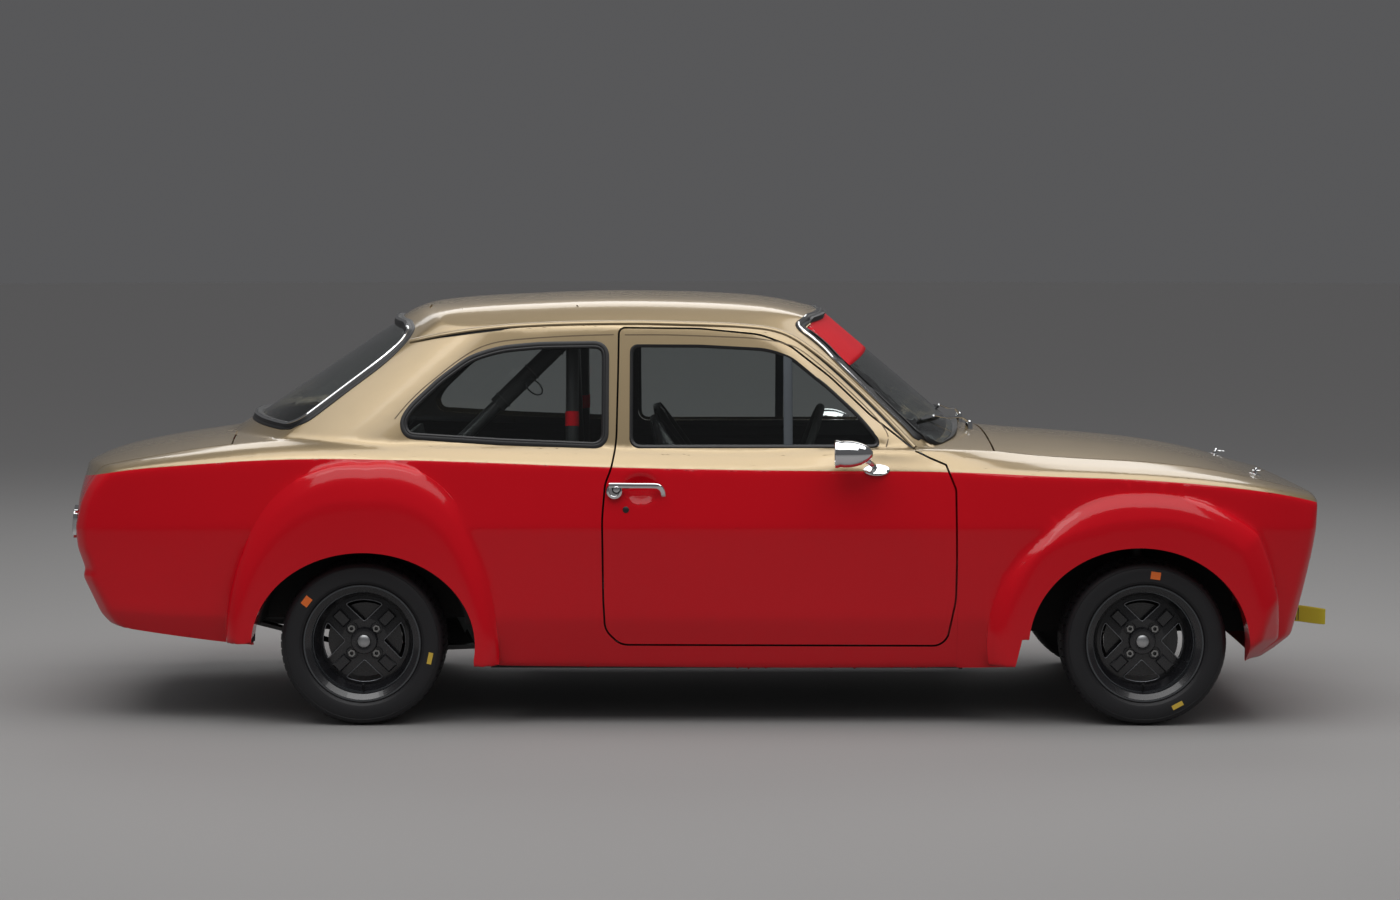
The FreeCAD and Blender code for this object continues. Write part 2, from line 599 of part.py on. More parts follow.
put("headlamps", Part.makeCompound([headlamp(s) for s in (-1, 1)]))
GRILLE_BARS = 8
BAR_PITCH = 18.0
grille = rounded_yz(*GRILLE, -SEAT, 1872, 1906).cut(rounded_yz(*GRILLE, -SEAT - 6, 1860, 1920))
grille = grille.fuse(rounded_yz(*GRILLE, -SEAT - 3, 1872, 1876))
for k in range(GRILLE_BARS):
    z = GRILLE[1] + BAR_PITCH * (k + 1)
    grille = grille.fuse(box(1875, 1890, 40 - HEADLAMP_Y, HEADLAMP_Y - 40, z - 3, z + 3))
lamp_seats = [cyl(1850, s * HEADLAMP_Y, HEADLAMP_Z, HEADLAMP_R + SEAT, 80, (1, 0, 0)) for s in (-1, 1)]
grille = cut(grille, lamp_seats)
put("grille", grille)
lamp_face = ends_volume(-LAMP_PROUD)
put("tail_lamps", Part.makeCompound([meet(lamp_box(s, -2100, -1905, SEAT), lamp_face) for s in (-1, 1)]))
put("tow_strap", box(1850, HALF_LENGTH, -392, -368, 278, 332).cut(ends_volume(-SEAT)))
wipers = [cyl(874, y, 868, 9, 34, (0, 0, 1)).cut(outside) for y in (-120, 330)]
put("wipers", Part.makeCompound(wipers))
MIRROR = (415.0, 832.0, 844.0)           # centre of its glass
m = V(*MIRROR)
bullet = joined([cyl(m.x, m.y, m.z, 43, 40, (1, 0, 0)),
                 Part.makeCone(43, 36, 42, m + V(40, 0, 0), V(1, 0, 0)),
                 Part.makeCone(36, 12, 34, m + V(82, 0, 0), V(1, 0, 0))])
mirror = rod((552, 700, 790), (500, 812, 832), 8).fuse(bullet).cut(outside)
HANDLE = (-275.0, -105.0, 728.0, 742.0)  # rear, front, bottom, top
hx0, hx1, hz0, hz1 = HANDLE
handle = joined([box(hx0, hx1, 778, 790, hz0, hz1), box(hx0, hx0 + 20, 760, 779, hz0, hz1),
                 box(hx1 - 20, hx1, 760, 779, hz0, hz1)]).cut(outside)

def stay(s, r):
    # rear stay of the cage, from the top of the main hoop to a wheel tub
    return rod((HOOP_X, s * 440, 1200), (REAR_AXLE_X, s * 570, TUB_TOP - 10), r)


# ---- floor and structure ----
room_cabin = cabin_room(WALL_CABIN + SEAT)
floor = meet(box(FLOOR_REAR_X, BULKHEAD_X, -720, 720, FLOOR_Z, FLOOR_TOP), room_cabin)
(wide, high), (narrow, low) = GEARBOX_TUNNEL, SHAFT_TUNNEL
floor = joined([floor, box(TUNNEL_STEP_X, BULKHEAD_X, -wide, wide, FLOOR_Z, high),
                box(FLOOR_REAR_X, TUNNEL_STEP_X, -narrow, narrow, FLOOR_Z, low)])
wide, high, narrow, low = wide - SHEET, high - SHEET, narrow - SHEET, low - SHEET
step_x = TUNNEL_STEP_X + SHEET
floor = cut(floor, [box(step_x, BULKHEAD_X + 1, -wide, wide, FLOOR_Z - 1, high),
                    box(FLOOR_REAR_X - 1, step_x + 1, -narrow, narrow, FLOOR_Z - 1, low)])
pads = [box(px - 45, px + 45, s * JACK_Y - 30, s * JACK_Y + 30, FLOOR_Z - PAD_DEEP, FLOOR_Z + 1)
        for px in JACK_XS for s in (-1, 1)]
put("floor_pan", joined([floor] + pads))

bulkhead = box(BULKHEAD_X + SEAT, BULKHEAD_X + SHEET, -720, 720, FLOOR_Z, 836)
bulkhead = bulkhead.cut(box(790, 820, -wide, wide, FLOOR_Z - 1, high))
bulkhead = meet(bulkhead, room_ends).cut(top_volume(-SEAT, -SEAT).cut(top_volume(WALL_TOP + SEAT, 25 + SEAT)))
bay_x = BULKHEAD_X + SHEET - 2
inner = prism_xz([(bay_x, 320), (1690, 320), (1690, 640), (1500, 700), (bay_x, 760)],
                 INNER_WING_Y, INNER_WING_Y + SHEET)
tower_x0, tower_x1 = FRONT_AXLE_X - TOWER_HALF_L, FRONT_AXLE_X + TOWER_HALF_L
tower = joined([box(tower_x0, tower_x1, INNER_WING_Y, 590, TOWER_Z, TOWER_Z + SHEET),
                box(tower_x0, tower_x0 + SHEET, INNER_WING_Y, 590, 600, TOWER_Z + 1),
                box(tower_x1 - SHEET, tower_x1, INNER_WING_Y, 590, 600, TOWER_Z + 1)])
rail = box(bay_x, 1750, INNER_WING_Y - 35, INNER_WING_Y + SHEET, 250, 321)
bay = joined([inner, tower, rail])
base = box(1700, 1750, -INNER_WING_Y, INNER_WING_Y, 270, 299.7)
put("front_structure", joined([bulkhead, bay, mirrored(bay), base]))

rear_points = [(FLOOR_REAR_X - SEAT, FLOOR_Z), (FLOOR_REAR_X - SEAT, FLOOR_TOP), (-690, FLOOR_TOP),
               (-820, 432), (-1300, 432), (-1400, BOOT_Z + SHEET), (-1990, BOOT_Z + SHEET), (-1990, BOOT_Z),
               (-1406, BOOT_Z), (-1306, 420), (-814, 420), (-684, FLOOR_Z)]
tub_wall = TUB_Y + SHEET
narrow, low = SHAFT_TUNNEL
rear_room = box(-2100, -1300, -900, 900, 0, 900).fuse(box(-1300, -600, -tub_wall, tub_wall, 0, 900))
rear_floor = meet(prism_xz(rear_points, -tub_wall, tub_wall), rear_room)
rear_floor = rear_floor.cut(box(-830, -600, SHEET - narrow, narrow - SHEET, 100, low - SHEET))
cover = box(-810, FLOOR_REAR_X - SEAT, -narrow, narrow, FLOOR_Z, low)
cover = cover.cut(box(-811, FLOOR_REAR_X, SHEET - narrow, narrow - SHEET, 100, low - SHEET))
rear_floor = rear_floor.fuse(cover)
for s in (-1, 1):
    rear_floor = rear_floor.cut(box(-780, -630, s * SPRING_Y - 45, s * SPRING_Y + 45, 100, 262))
tub_x = REAR_AXLE_X
tub = Part.makeCylinder(TUB_R + SHEET, 720 - TUB_Y, V(tub_x, TUB_Y, AXLE_Z), V(0, 1, 0)).cut(
    Part.makeCylinder(TUB_R, 720, V(tub_x, TUB_Y + SHEET, AXLE_Z), V(0, 1, 0)))
tub = meet(tub, box(-1500, -600, 500, 900, 310, 900))
seat_wall = prism_xz([(-870, 430), (-882, 430), (-960, 850), (-948, 850)], -tub_wall, tub_wall)
seat_wall = cut(seat_wall, [stay(s, CAGE_R + SHUT_GAP) for s in (-1, 1)])
rear_floor = joined([rear_floor, tub, mirrored(tub), seat_wall])
rear_floor = meet(rear_floor, room_ends)
put("rear_floor", rear_floor)

# ---- running gear ----
x = FRONT_AXLE_X
crossmember = box(x - 45, x + 45, -INNER_WING_Y, INNER_WING_Y, 198, 250 - SEAT)
arm_low = prism_xy([(x - 30, 320), (x + 30, 320), (x + 13, STEER_FOOT[1]), (x - 13, STEER_FOOT[1])],
                   176, ARM_TOP)
arm_low = arm_low.fuse(cyl(*STEER_FOOT[:2], 176, 13, ARM_TOP - 176, (0, 0, 1)))
rack = cyl(x + 66, -330, 225, 24, 660, (0, 1, 0))
blocks = [box(x - 30, x + 30, min(s * 320, s * 360), max(s * 320, s * 360), 180, 199) for s in (-1, 1)]
put("crossmember", joined([crossmember] + blocks + [arm_low, mirrored(arm_low), rack]))
length, half, z0, z1 = ENGINE
engine = box(ENGINE_REAR_X, ENGINE_REAR_X + length, -half, half, z0, z1)
put("engine_block", engine.cut(box(x - 51, x + 96, -half - 10, half + 10, z0 - 25, z0 + 25)))
put("radiator", box(1700, 1750, -260, 260, 300, 655))
prop_end = REAR_AXLE_X + PINION_L
put("driveline", joined([cyl(560, 0, GEARBOX_Z, GEARBOX_R, ENGINE_REAR_X - SEAT - 560, (1, 0, 0)),
                         cyl(510, 0, GEARBOX_Z, 60, 60, (1, 0, 0)),
                         rod((520, 0, GEARBOX_Z), (prop_end + 2, 0, SHAFT_Z), SHAFT_R)]))
axle_end = HUB_BACK_Y - SEAT
put("rear_axle", joined([cyl(REAR_AXLE_X, -axle_end, AXLE_Z, AXLE_TUBE_R, 2 * axle_end, (0, 1, 0)),
                         Part.makeSphere(DIFF_R, V(REAR_AXLE_X, 0, AXLE_Z)),
                         cyl(REAR_AXLE_X, 0, SHAFT_Z, 48, PINION_L, (1, 0, 0))]))
pad_z = AXLE_Z - AXLE_TUBE_R - SEAT
y0, y1 = SPRING_Y - SPRING_HALF_W, SPRING_Y + SPRING_HALF_W
spring = prism_xz([(SPRING_REAR_X, 286), (SPRING_REAR_X, 298), (REAR_AXLE_X - 50, pad_z),
                   (REAR_AXLE_X + 50, pad_z), (SPRING_FRONT_X + 3, 222), (SPRING_FRONT_X + 3, 210),
                   (REAR_AXLE_X, pad_z - 20)], y0, y1)
spring = joined([spring, cyl(SPRING_REAR_X, y0, BOOT_Z - SEAT - 13, 13, y1 - y0, (0, 1, 0)),
                 cyl(SPRING_FRONT_X, y0, 216, 15, y1 - y0, (0, 1, 0))])
put("leaf_springs", Part.makeCompound([spring, mirrored(spring)]))
pipe = tube_run([(1010, half + SEAT, 320), (1010, 215, 320), (890, 215, PIPE_Z), (-700, 260, PIPE_Z),
                 (-860, 300, 150), (-1500, 330, 215), (-1950, 330, 262)], PIPE_R)
hangers = [(-300, 247, PIPE_Z, FLOOR_Z), (500, 222, PIPE_Z, FLOOR_Z), (-1500, 330, 215, BOOT_Z)]
stays = [rod((hx, hy, z), (hx, hy, top - SEAT), HANGER_R) for hx, hy, z, top in hangers]
put("exhaust", joined([pipe] + stays))
put("fuel_tank", box(-1800, -1450, -400, 400, BOOT_Z + SHEET + SEAT, 520))


def rim_window():
    # one of the four windows between the spokes, its sides along the spokes
    a, r = SPOKE_W / math.sqrt(2), WINDOW_R
    k = (a + math.sqrt(2 * r * r - a * a)) / 2
    p = [V(0, 500, -a), V(k - a, 500, -k), V(0, 500, -r), V(a - k, 500, -k)]
    wire = closed_run(p, "lal")
    return Part.Face(wire).extrude(V(0, 400, 0))


def dish():
    # left rim, outer face towards +Y
    flange, y0, y1 = RIM_FLANGE_R, RIM_INNER_Y, RIM_OUTER_Y
    seat_r = RIM_SEAT_R
    barrel = [(flange, y0), (flange, y0 + 8), (seat_r, y0 + 8), (seat_r, y0 + 40), (140, y0 + 60),
              (140, y0 + 95), (seat_r, y1 - 40), (seat_r, y1 - 8), (flange, y1 - 8), (flange, y1), (174, y1),
              (158, y1 - 12), (158, y1 - 42), (133, y1 - 98), (133, y0 + 58), (158, y0 + 38),
              (158, y0 + 8), (174, y0)]
    disc = turned_y([(0, HUB_FACE_Y - 12), (0, HUB_FACE_Y + 22), (17, HUB_FACE_Y + 22), (19, HUB_FACE_Y + 16),
                     (34, HUB_FACE_Y + 14), (41, HUB_FACE_Y + 4), (70, HUB_FACE_Y + 4), (138, HUB_FACE_Y - 6),
                     (138, HUB_FACE_Y - 22), (60, HUB_FACE_Y - 12)], 0, 0)
    for k in range(4):
        disc = disc.cut(rim_window().rotate(V(0, 0, 0), V(0, 1, 0), 90 * k))
    hub = joined([Part.makeCylinder(HUB_R, HUB_FACE_Y - 10 - HUB_BACK_Y, V(0, HUB_BACK_Y, 0), V(0, 1, 0)),
                  Part.makeCylinder(BRAKE_R, 10, V(0, BRAKE_Y, 0), V(0, 1, 0))])
    return joined([turned_y(barrel, 0, 0), disc, hub])


bead_in, bead_out = RIM_INNER_Y + 8 + SEAT, RIM_OUTER_Y - 8 - SEAT
tyre = turned_y([(RIM_SEAT_R + SEAT, bead_in), (RIM_FLANGE_R + 1, bead_in), (190, 555),
                 (205, TYRE_INNER_Y + 1), (222, TYRE_INNER_Y), (240, 556), (TYRE_R - 2, 574), (TYRE_R, 600),
                 (TYRE_R, 710), (TYRE_R - 2, 736), (240, 754), (222, TYRE_OUTER_Y),
                 (205, TYRE_OUTER_Y - 1), (190, 755), (RIM_FLANGE_R + 1, bead_out),
                 (RIM_SEAT_R + SEAT, bead_out)], 0, 0)
rim = dish()
# a front upright and its strut turn about the line from STEER_FOOT to STEER_HEAD,
# and its two ends are pins on that line
foot_pin, head_pin = V(*STEER_FOOT), V(*STEER_HEAD)
steer_line = (head_pin - foot_pin).normalize()
lean = math.sqrt(1 - steer_line.z ** 2)
foot_pin += steer_line * ((ARM_TOP + SEAT + PIN_R * lean - foot_pin.z) / steer_line.z)
head_pin += steer_line * ((TOWER_Z - SEAT - PIN_R * lean - head_pin.z) / steer_line.z)
upright = joined([rod((FRONT_AXLE_X, 518, 300), (FRONT_AXLE_X, 521, TOWER_Z - 30), 22),
                  rod(head_pin - steer_line * 60, head_pin, PIN_R),
                  box(FRONT_AXLE_X - 28, FRONT_AXLE_X + 28, 500, HUB_BACK_Y - 8, 214, 300),
                  box(FRONT_AXLE_X - 22, FRONT_AXLE_X + 22, 500, 538, 299, 400),
                  cyl(FRONT_AXLE_X, 590, AXLE_Z, 26, HUB_BACK_Y - SEAT - 590, (0, 1, 0)),
                  rod(foot_pin, foot_pin + steer_line * 40, PIN_R)])
for place, x in (("front", FRONT_AXLE_X), ("rear", REAR_AXLE_X)):
    for s in ("left", "right"):
        move = V(x, 0, AXLE_Z)
        put("tyre_%s_%s" % (place, s), side(tyre.translated(move), s))
        put("rim_%s_%s" % (place, s), side(rim.translated(move), s))
for s in ("left", "right"):
    put("strut_" + s, side(upright, s))
    put("mirror_" + s, side(mirror, s))
    put("door_handle_" + s, side(handle, s))

# ---- cabin ----
foot = FLOOR_TOP + SEAT
hoop_half = [(560, foot), (540, 700), (470, 1170), (380, 1245)]
hoop = [(HOOP_X, -y, z) for y, z in hoop_half] + [(HOOP_X, y, z) for y, z in reversed(hoop_half)]
cage = [tube_run(hoop, CAGE_R)]
for s in (-1, 1):
    side_run = [(HOOP_X, s * 440, 1200), (330, s * 430, 1185), (640, s * 560, 850), (690, s * 590, foot)]
    cage.append(tube_run(side_run, CAGE_R))
    cage.append(stay(s, CAGE_R))
cage.append(rod((330, -430, 1185), (330, 430, 1185), CAGE_R))
cage.append(rod((HOOP_X, 540, 300), (HOOP_X, -420, 1200), CAGE_R))
frame = cage[0]
for tube in cage[1:]:
    frame = frame.fuse(tube)
tub_tops = box(-1500, -800, -900, 900, 0, TUB_TOP + SEAT)
put("roll_cage", cut(frame, [box(-700, 1000, -900, 900, 0, foot), tub_tops]))


def seat(y):
    h = SEAT_W / 2
    outer = prism_xz([(20, foot), (420, foot), (440, 330), (400, 400), (160, 380), (60, 560), (-60, 880),
                      (-120, 935), (-218, 925), (-150, 560), (-60, 230)], y - h, y + h)
    hollow = prism_xz([(450, 345), (100, 290), (-60, 560), (-150, 900), (-150, 1100), (300, 1100),
                       (500, 600)], y - h + 35, y + h - 35)
    return outer.cut(hollow)


for name, y in (("left", SEAT_Y), ("right", -SEAT_Y)):
    put("seat_" + name, seat(y))
dash = prism_xz([(600, 790), (700, 822), (BULKHEAD_X, 822), (BULKHEAD_X, 620), (660, 600), (610, 640)],
                -520, 520)
WHEEL_C = V(330, DRIVER_Y, 800)
WHEEL_AXIS = V(-0.94, 0, 0.342)
WHEEL_DOWN = V(-0.342, 0, -0.94)
back = V(0, 0, 0) - WHEEL_AXIS
steering = Part.makeTorus(WHEEL_R, GRIP_R, WHEEL_C, WHEEL_AXIS)
for way in (V(0, 1, 0), V(0, -1, 0), WHEEL_DOWN):
    steering = steering.fuse(Part.makeCylinder(9, WHEEL_R - 7, WHEEL_C, way))
steering = steering.fuse(Part.makeCylinder(32, 30, WHEEL_C - WHEEL_AXIS * 15, WHEEL_AXIS))
steering = steering.fuse(Part.makeCylinder(COLUMN_R, 130, WHEEL_C, back))
put("steering_wheel", steering)
column = Part.makeCylinder(COLUMN_R + 10, 340, WHEEL_C - WHEEL_AXIS * 60, back)
bore = Part.makeCylinder(COLUMN_R + SEAT, 80, WHEEL_C - WHEEL_AXIS * 55, back)
dash = cut(dash.fuse(column), [bore, box(BULKHEAD_X, 900, -900, 900, 0, 900)])
put("dashboard", dash)

os.makedirs("parts", exist_ok=True)
for name, shape in nodes.items():
    shape.exportStep("parts/" + name + ".step")
for name, shape in nodes.items():
    b = shape.BoundBox
    print("%-20s %2d solids valid %s  x %7.0f %7.0f  y %7.0f %7.0f  z %7.0f %7.0f" % (
        name, len(shape.Solids), shape.isValid(), b.XMin, b.XMax, b.YMin, b.YMax, b.ZMin, b.ZMax))
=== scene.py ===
import json
import math

import bmesh
import bpy
import numpy as np
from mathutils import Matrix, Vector
from mathutils.bvhtree import BVHTree
from mathutils.kdtree import KDTree


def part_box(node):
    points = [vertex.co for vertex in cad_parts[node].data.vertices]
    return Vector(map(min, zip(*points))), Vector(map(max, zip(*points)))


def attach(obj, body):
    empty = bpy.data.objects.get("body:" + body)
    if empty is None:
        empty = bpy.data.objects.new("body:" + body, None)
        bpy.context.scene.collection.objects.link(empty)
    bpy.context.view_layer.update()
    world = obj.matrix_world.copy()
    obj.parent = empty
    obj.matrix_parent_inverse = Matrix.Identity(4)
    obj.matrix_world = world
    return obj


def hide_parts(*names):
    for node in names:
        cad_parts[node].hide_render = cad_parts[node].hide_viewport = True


# Looks of the rally car. Metres, +X forward, +Y to the car's left, +Z up, origin on the floor.

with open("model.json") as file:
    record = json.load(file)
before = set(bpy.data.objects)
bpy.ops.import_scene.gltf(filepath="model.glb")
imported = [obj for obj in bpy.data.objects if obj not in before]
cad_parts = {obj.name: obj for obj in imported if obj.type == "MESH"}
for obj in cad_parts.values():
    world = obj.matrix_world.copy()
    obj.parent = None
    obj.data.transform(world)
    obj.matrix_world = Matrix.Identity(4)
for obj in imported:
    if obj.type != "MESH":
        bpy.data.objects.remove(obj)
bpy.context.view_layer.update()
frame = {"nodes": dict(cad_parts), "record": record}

# ---- driving values, from the frame ----
joints = {j["name"]: j for j in frame["record"]["behaviour"]["joints"]}
FRONT_AXLE_X = joints["wheel_front_left_spin"]["pos_m"][0]
REAR_AXLE_X = joints["wheel_rear_left_spin"]["pos_m"][0]
AXLE_Z = joints["wheel_front_left_spin"]["pos_m"][2]


# ---- node helpers for materials ----
def new_material(name):
    mat = bpy.data.materials.new(name)
    mat.use_nodes = True
    tree = mat.node_tree
    return mat, tree, tree.nodes["Principled BSDF"]


def add(tree, kind, **settings):
    node = tree.nodes.new(kind)
    for key, value in settings.items():
        setattr(node, key, value)
    return node


def object_coordinates(tree, scale=(1, 1, 1)):
    coordinates = add(tree, "ShaderNodeTexCoord")
    mapping = add(tree, "ShaderNodeMapping")
    mapping.inputs["Scale"].default_value = scale
    tree.links.new(coordinates.outputs["Object"], mapping.inputs["Vector"])
    return mapping.outputs["Vector"]


def noise(tree, vector, scale, detail=3.0, roughness=0.5):
    node = add(tree, "ShaderNodeTexNoise")
    node.inputs["Scale"].default_value = scale
    node.inputs["Detail"].default_value = detail
    node.inputs["Roughness"].default_value = roughness
    tree.links.new(vector, node.inputs["Vector"])
    return node.outputs["Fac"]


def ramp(tree, value, low, high):
    node = add(tree, "ShaderNodeMapRange")
    node.inputs["To Min"].default_value = low
    node.inputs["To Max"].default_value = high
    tree.links.new(value, node.inputs["Value"])
    return node.outputs["Result"]


def mix_colour(tree, factor, a, b):
    node = add(tree, "ShaderNodeMix", data_type="RGBA")
    for socket, value in ((node.inputs["A"], a), (node.inputs["B"], b)):
        if isinstance(value, tuple):
            socket.default_value = (*value, 1.0)
        else:
            tree.links.new(value, socket)
    tree.links.new(factor, node.inputs["Factor"])
    return node.outputs["Result"]


def bump(tree, shader, height, distance, strength=1.0):
    node = add(tree, "ShaderNodeBump")
    node.inputs["Distance"].default_value = distance
    node.inputs["Strength"].default_value = strength
    tree.links.new(height, node.inputs["Height"])
    tree.links.new(node.outputs["Normal"], shader.inputs["Normal"])
    return node


def plain_finish(name, colour, roughness, metallic=0.0, coat=0.0, grain=400.0, depth=0.00005, spread=0.15,
                 tone=0.12):
    """One finish with small variation of tone, gloss and surface."""
    mat, tree, shader = new_material(name)
    vector = object_coordinates(tree)
    coarse = noise(tree, vector, 6.0)
    dark = tuple(c * (1 - tone) for c in colour)
    light = tuple(min(1.0, c * (1 + tone)) for c in colour)
    tree.links.new(mix_colour(tree, coarse, dark, light), shader.inputs["Base Color"])
    fine = noise(tree, vector, grain)
    tree.links.new(ramp(tree, fine, roughness * (1 - spread), min(1.0, roughness * (1 + spread))),
                   shader.inputs["Roughness"])
    shader.inputs["Metallic"].default_value = metallic
    shader.inputs["Coat Weight"].default_value = coat
    bump(tree, shader, fine, depth)
    return mat


# ---- finishes ----
GOLD = (0.40, 0.305, 0.180)
RED = (0.54, 0.001, 0.008)

# height of the line between the two paints along the car: x, z
PAINT_SPLIT = [(-2.02, 0.712), (-1.84, 0.768), (-1.55, 0.801), (-1.25, 0.819), (-0.9, 0.818), (-0.25, 0.797),
               (0.3, 0.787), (0.756, 0.783), (1.1, 0.768), (1.37, 0.757), (1.64, 0.732), (1.85, 0.697),
               (1.99, 0.652)]


def two_tone_paint():
    mat, tree, shader = new_material("two_tone_paint")
    vector = object_coordinates(tree)
    parts = add(tree, "ShaderNodeSeparateXYZ")
    tree.links.new(vector, parts.inputs["Vector"])
    x0, x1 = PAINT_SPLIT[0][0], PAINT_SPLIT[-1][0]
    along = add(tree, "ShaderNodeMapRange")
    along.inputs["From Min"].default_value = x0
    along.inputs["From Max"].default_value = x1
    tree.links.new(parts.outputs["X"], along.inputs["Value"])
    curve = add(tree, "ShaderNodeFloatCurve")
    line = curve.mapping.curves[0]
    for k, (x, z) in enumerate(PAINT_SPLIT):
        at = ((x - x0) / (x1 - x0), z)
        if k == 0:
            line.points[0].location = at
        elif k == len(PAINT_SPLIT) - 1:
            line.points[-1].location = at
        else:
            line.points.new(*at)
    curve.mapping.update()
    tree.links.new(along.outputs["Result"], curve.inputs["Value"])
    above = add(tree, "ShaderNodeMath", operation="SUBTRACT")
    tree.links.new(parts.outputs["Z"], above.inputs[0])
    tree.links.new(curve.outputs["Value"], above.inputs[1])
    edge = add(tree, "ShaderNodeMapRange")
    edge.inputs["From Min"].default_value = -0.0007
    edge.inputs["From Max"].default_value = 0.0007
    tree.links.new(above.outputs[0], edge.inputs["Value"])
    flake = noise(tree, vector, 2200.0, 1.0)
    haze = noise(tree, vector, 2.2)
    gold = mix_colour(tree, flake, tuple(c * 0.86 for c in GOLD), tuple(c * 1.14 for c in GOLD))
    red = mix_colour(tree, haze, tuple(c * 0.94 for c in RED), tuple(c * 1.05 for c in RED))
    tree.links.new(mix_colour(tree, edge.outputs["Result"], red, gold), shader.inputs["Base Color"])
    metal = add(tree, "ShaderNodeMath", operation="MULTIPLY")
    metal.inputs[1].default_value = 0.7
    tree.links.new(edge.outputs["Result"], metal.inputs[0])
    tree.links.new(metal.outputs[0], shader.inputs["Metallic"])
    tree.links.new(ramp(tree, haze, 0.30, 0.38), shader.inputs["Roughness"])
    shader.inputs["Specular IOR Level"].default_value = 0.05
    shader.inputs["Coat Weight"].default_value = 1.0
    shader.inputs["Coat Roughness"].default_value = 0.09
    shader.inputs["Coat IOR"].default_value = 1.42
    return mat


def glass_finish(name, tint, roughness=0.0):
    mat, tree, shader = new_material(name)
    shader.inputs["Base Color"].default_value = (*tint, 1.0)
    shader.inputs["Transmission Weight"].default_value = 1.0
    shader.inputs["Roughness"].default_value = roughness
    shader.inputs["IOR"].default_value = 1.45
    clear = add(tree, "ShaderNodeBsdfTransparent")
    clear.inputs["Color"].default_value = (*tint, 1.0)
    path = add(tree, "ShaderNodeLightPath")
    mix = add(tree, "ShaderNodeMixShader")
    out = tree.nodes["Material Output"]
    tree.links.new(path.outputs["Is Shadow Ray"], mix.inputs["Fac"])
    tree.links.new(shader.outputs["BSDF"], mix.inputs[1])
    tree.links.new(clear.outputs["BSDF"], mix.inputs[2])
    tree.links.new(mix.outputs["Shader"], out.inputs["Surface"])
    return mat


def fluted_glass():
    """Lamp glass with upright flutes moulded into it."""
    mat = glass_finish("fluted_lamp_glass", (0.95, 0.96, 0.96))
    tree = mat.node_tree
    shader = tree.nodes["Principled BSDF"]
    wave = add(tree, "ShaderNodeTexWave", bands_direction="Y")
    wave.inputs["Scale"].default_value = 26.0
    tree.links.new(object_coordinates(tree), wave.inputs["Vector"])
    bump(tree, shader, wave.outputs["Fac"], 0.0012)
    return mat


PAINT = two_tone_paint()
WINDOW = glass_finish("window_glass", (0.80, 0.84, 0.83))
LAMP_GLASS = glass_finish("lamp_glass", (0.95, 0.96, 0.96))
RUBBER = plain_finish("tyre_rubber", (0.011, 0.011, 0.013), 0.55, grain=900.0, depth=0.0001)
SEAL = plain_finish("black_seal", (0.012, 0.012, 0.013), 0.42, grain=700.0)
RIM_BLACK = plain_finish("black_wheel_paint", (0.012, 0.012, 0.014), 0.28, coat=0.6, grain=300.0)
UNDERSEAL = plain_finish("black_underseal", (0.018, 0.018, 0.018), 0.85, grain=160.0, depth=0.0006)
DARK_STEEL = plain_finish("dark_steel", (0.08, 0.08, 0.08), 0.5, metallic=0.8, grain=200.0, depth=0.0002)
CAST_PAINT = plain_finish("engine_paint", (0.10, 0.10, 0.11), 0.6, metallic=0.3, grain=120.0, depth=0.0005)
CHROME = plain_finish("chrome", (0.83, 0.84, 0.85), 0.07, metallic=1.0, grain=60.0, depth=0.00001, tone=0.03)
ALLOY = plain_finish("alloy", (0.55, 0.56, 0.57), 0.4, metallic=1.0, grain=300.0)
LAMP_RED = plain_finish("red_lens", (0.36, 0.012, 0.008), 0.12, coat=1.0)
GRILLE_BLACK = plain_finish("grille_black", (0.015, 0.015, 0.015), 0.45, grain=300.0)
CAGE_BLACK = plain_finish("black_cage_paint", (0.02, 0.02, 0.021), 0.35, coat=0.3)
SEAT_CLOTH = plain_finish("seat_cloth", (0.03, 0.03, 0.033), 0.9, grain=1400.0, depth=0.0004)
DASH = plain_finish("dash_vinyl", (0.02, 0.02, 0.021), 0.6, grain=900.0, depth=0.0002)
GRIP = plain_finish("wheel_suede", (0.025, 0.025, 0.025), 0.9, grain=1600.0, depth=0.0003)
POST_GREY = plain_finish("grey_anodised", (0.075, 0.085, 0.095), 0.42, metallic=0.6, grain=500.0)
# near black on the panels' faces towards the cabin
CABIN_FACE_DARK = plain_finish("dark_cabin_faces", (0.016, 0.016, 0.018), 0.8, grain=700.0, depth=0.0003)
FOAM_BLACK = plain_finish("cage_foam", (0.014, 0.014, 0.015), 0.85, grain=900.0, depth=0.0006)
SEAT_SHELL = plain_finish("seat_shell", (0.020, 0.020, 0.022), 0.38, grain=300.0)
HARNESS = plain_finish("harness_webbing", (0.030, 0.030, 0.036), 0.75, grain=1200.0, depth=0.0003)
DIAL_WHITE = plain_finish("dial_white", (0.70, 0.70, 0.68), 0.5)
BULB = plain_finish("bulb_glass", (0.85, 0.85, 0.80), 0.15)
FLUTED_GLASS = fluted_glass()
NUT_STEEL = plain_finish("nut_steel", (0.42, 0.42, 0.41), 0.34, metallic=1.0, grain=400.0)
# a lighter metal for the strips along the spokes' chamfered edges
BRIGHT_CHAMFER = plain_finish("bright_chamfer_strip", (0.30, 0.31, 0.33), 0.30, metallic=1.0, grain=300.0)
RIM_LIP = plain_finish("rim_lip", (0.10, 0.11, 0.12), 0.22, metallic=0.8, coat=0.6)
LABEL_ORANGE = plain_finish("label_orange", (0.80, 0.16, 0.02), 0.5)
LABEL_YELLOW = plain_finish("label_yellow", (0.62, 0.42, 0.05), 0.5)
FILM_RED = plain_finish("red_film", (0.50, 0.004, 0.012), 0.5, grain=300.0)
FILM_RED.node_tree.nodes["Principled BSDF"].inputs["Specular IOR Level"].default_value = 0.08
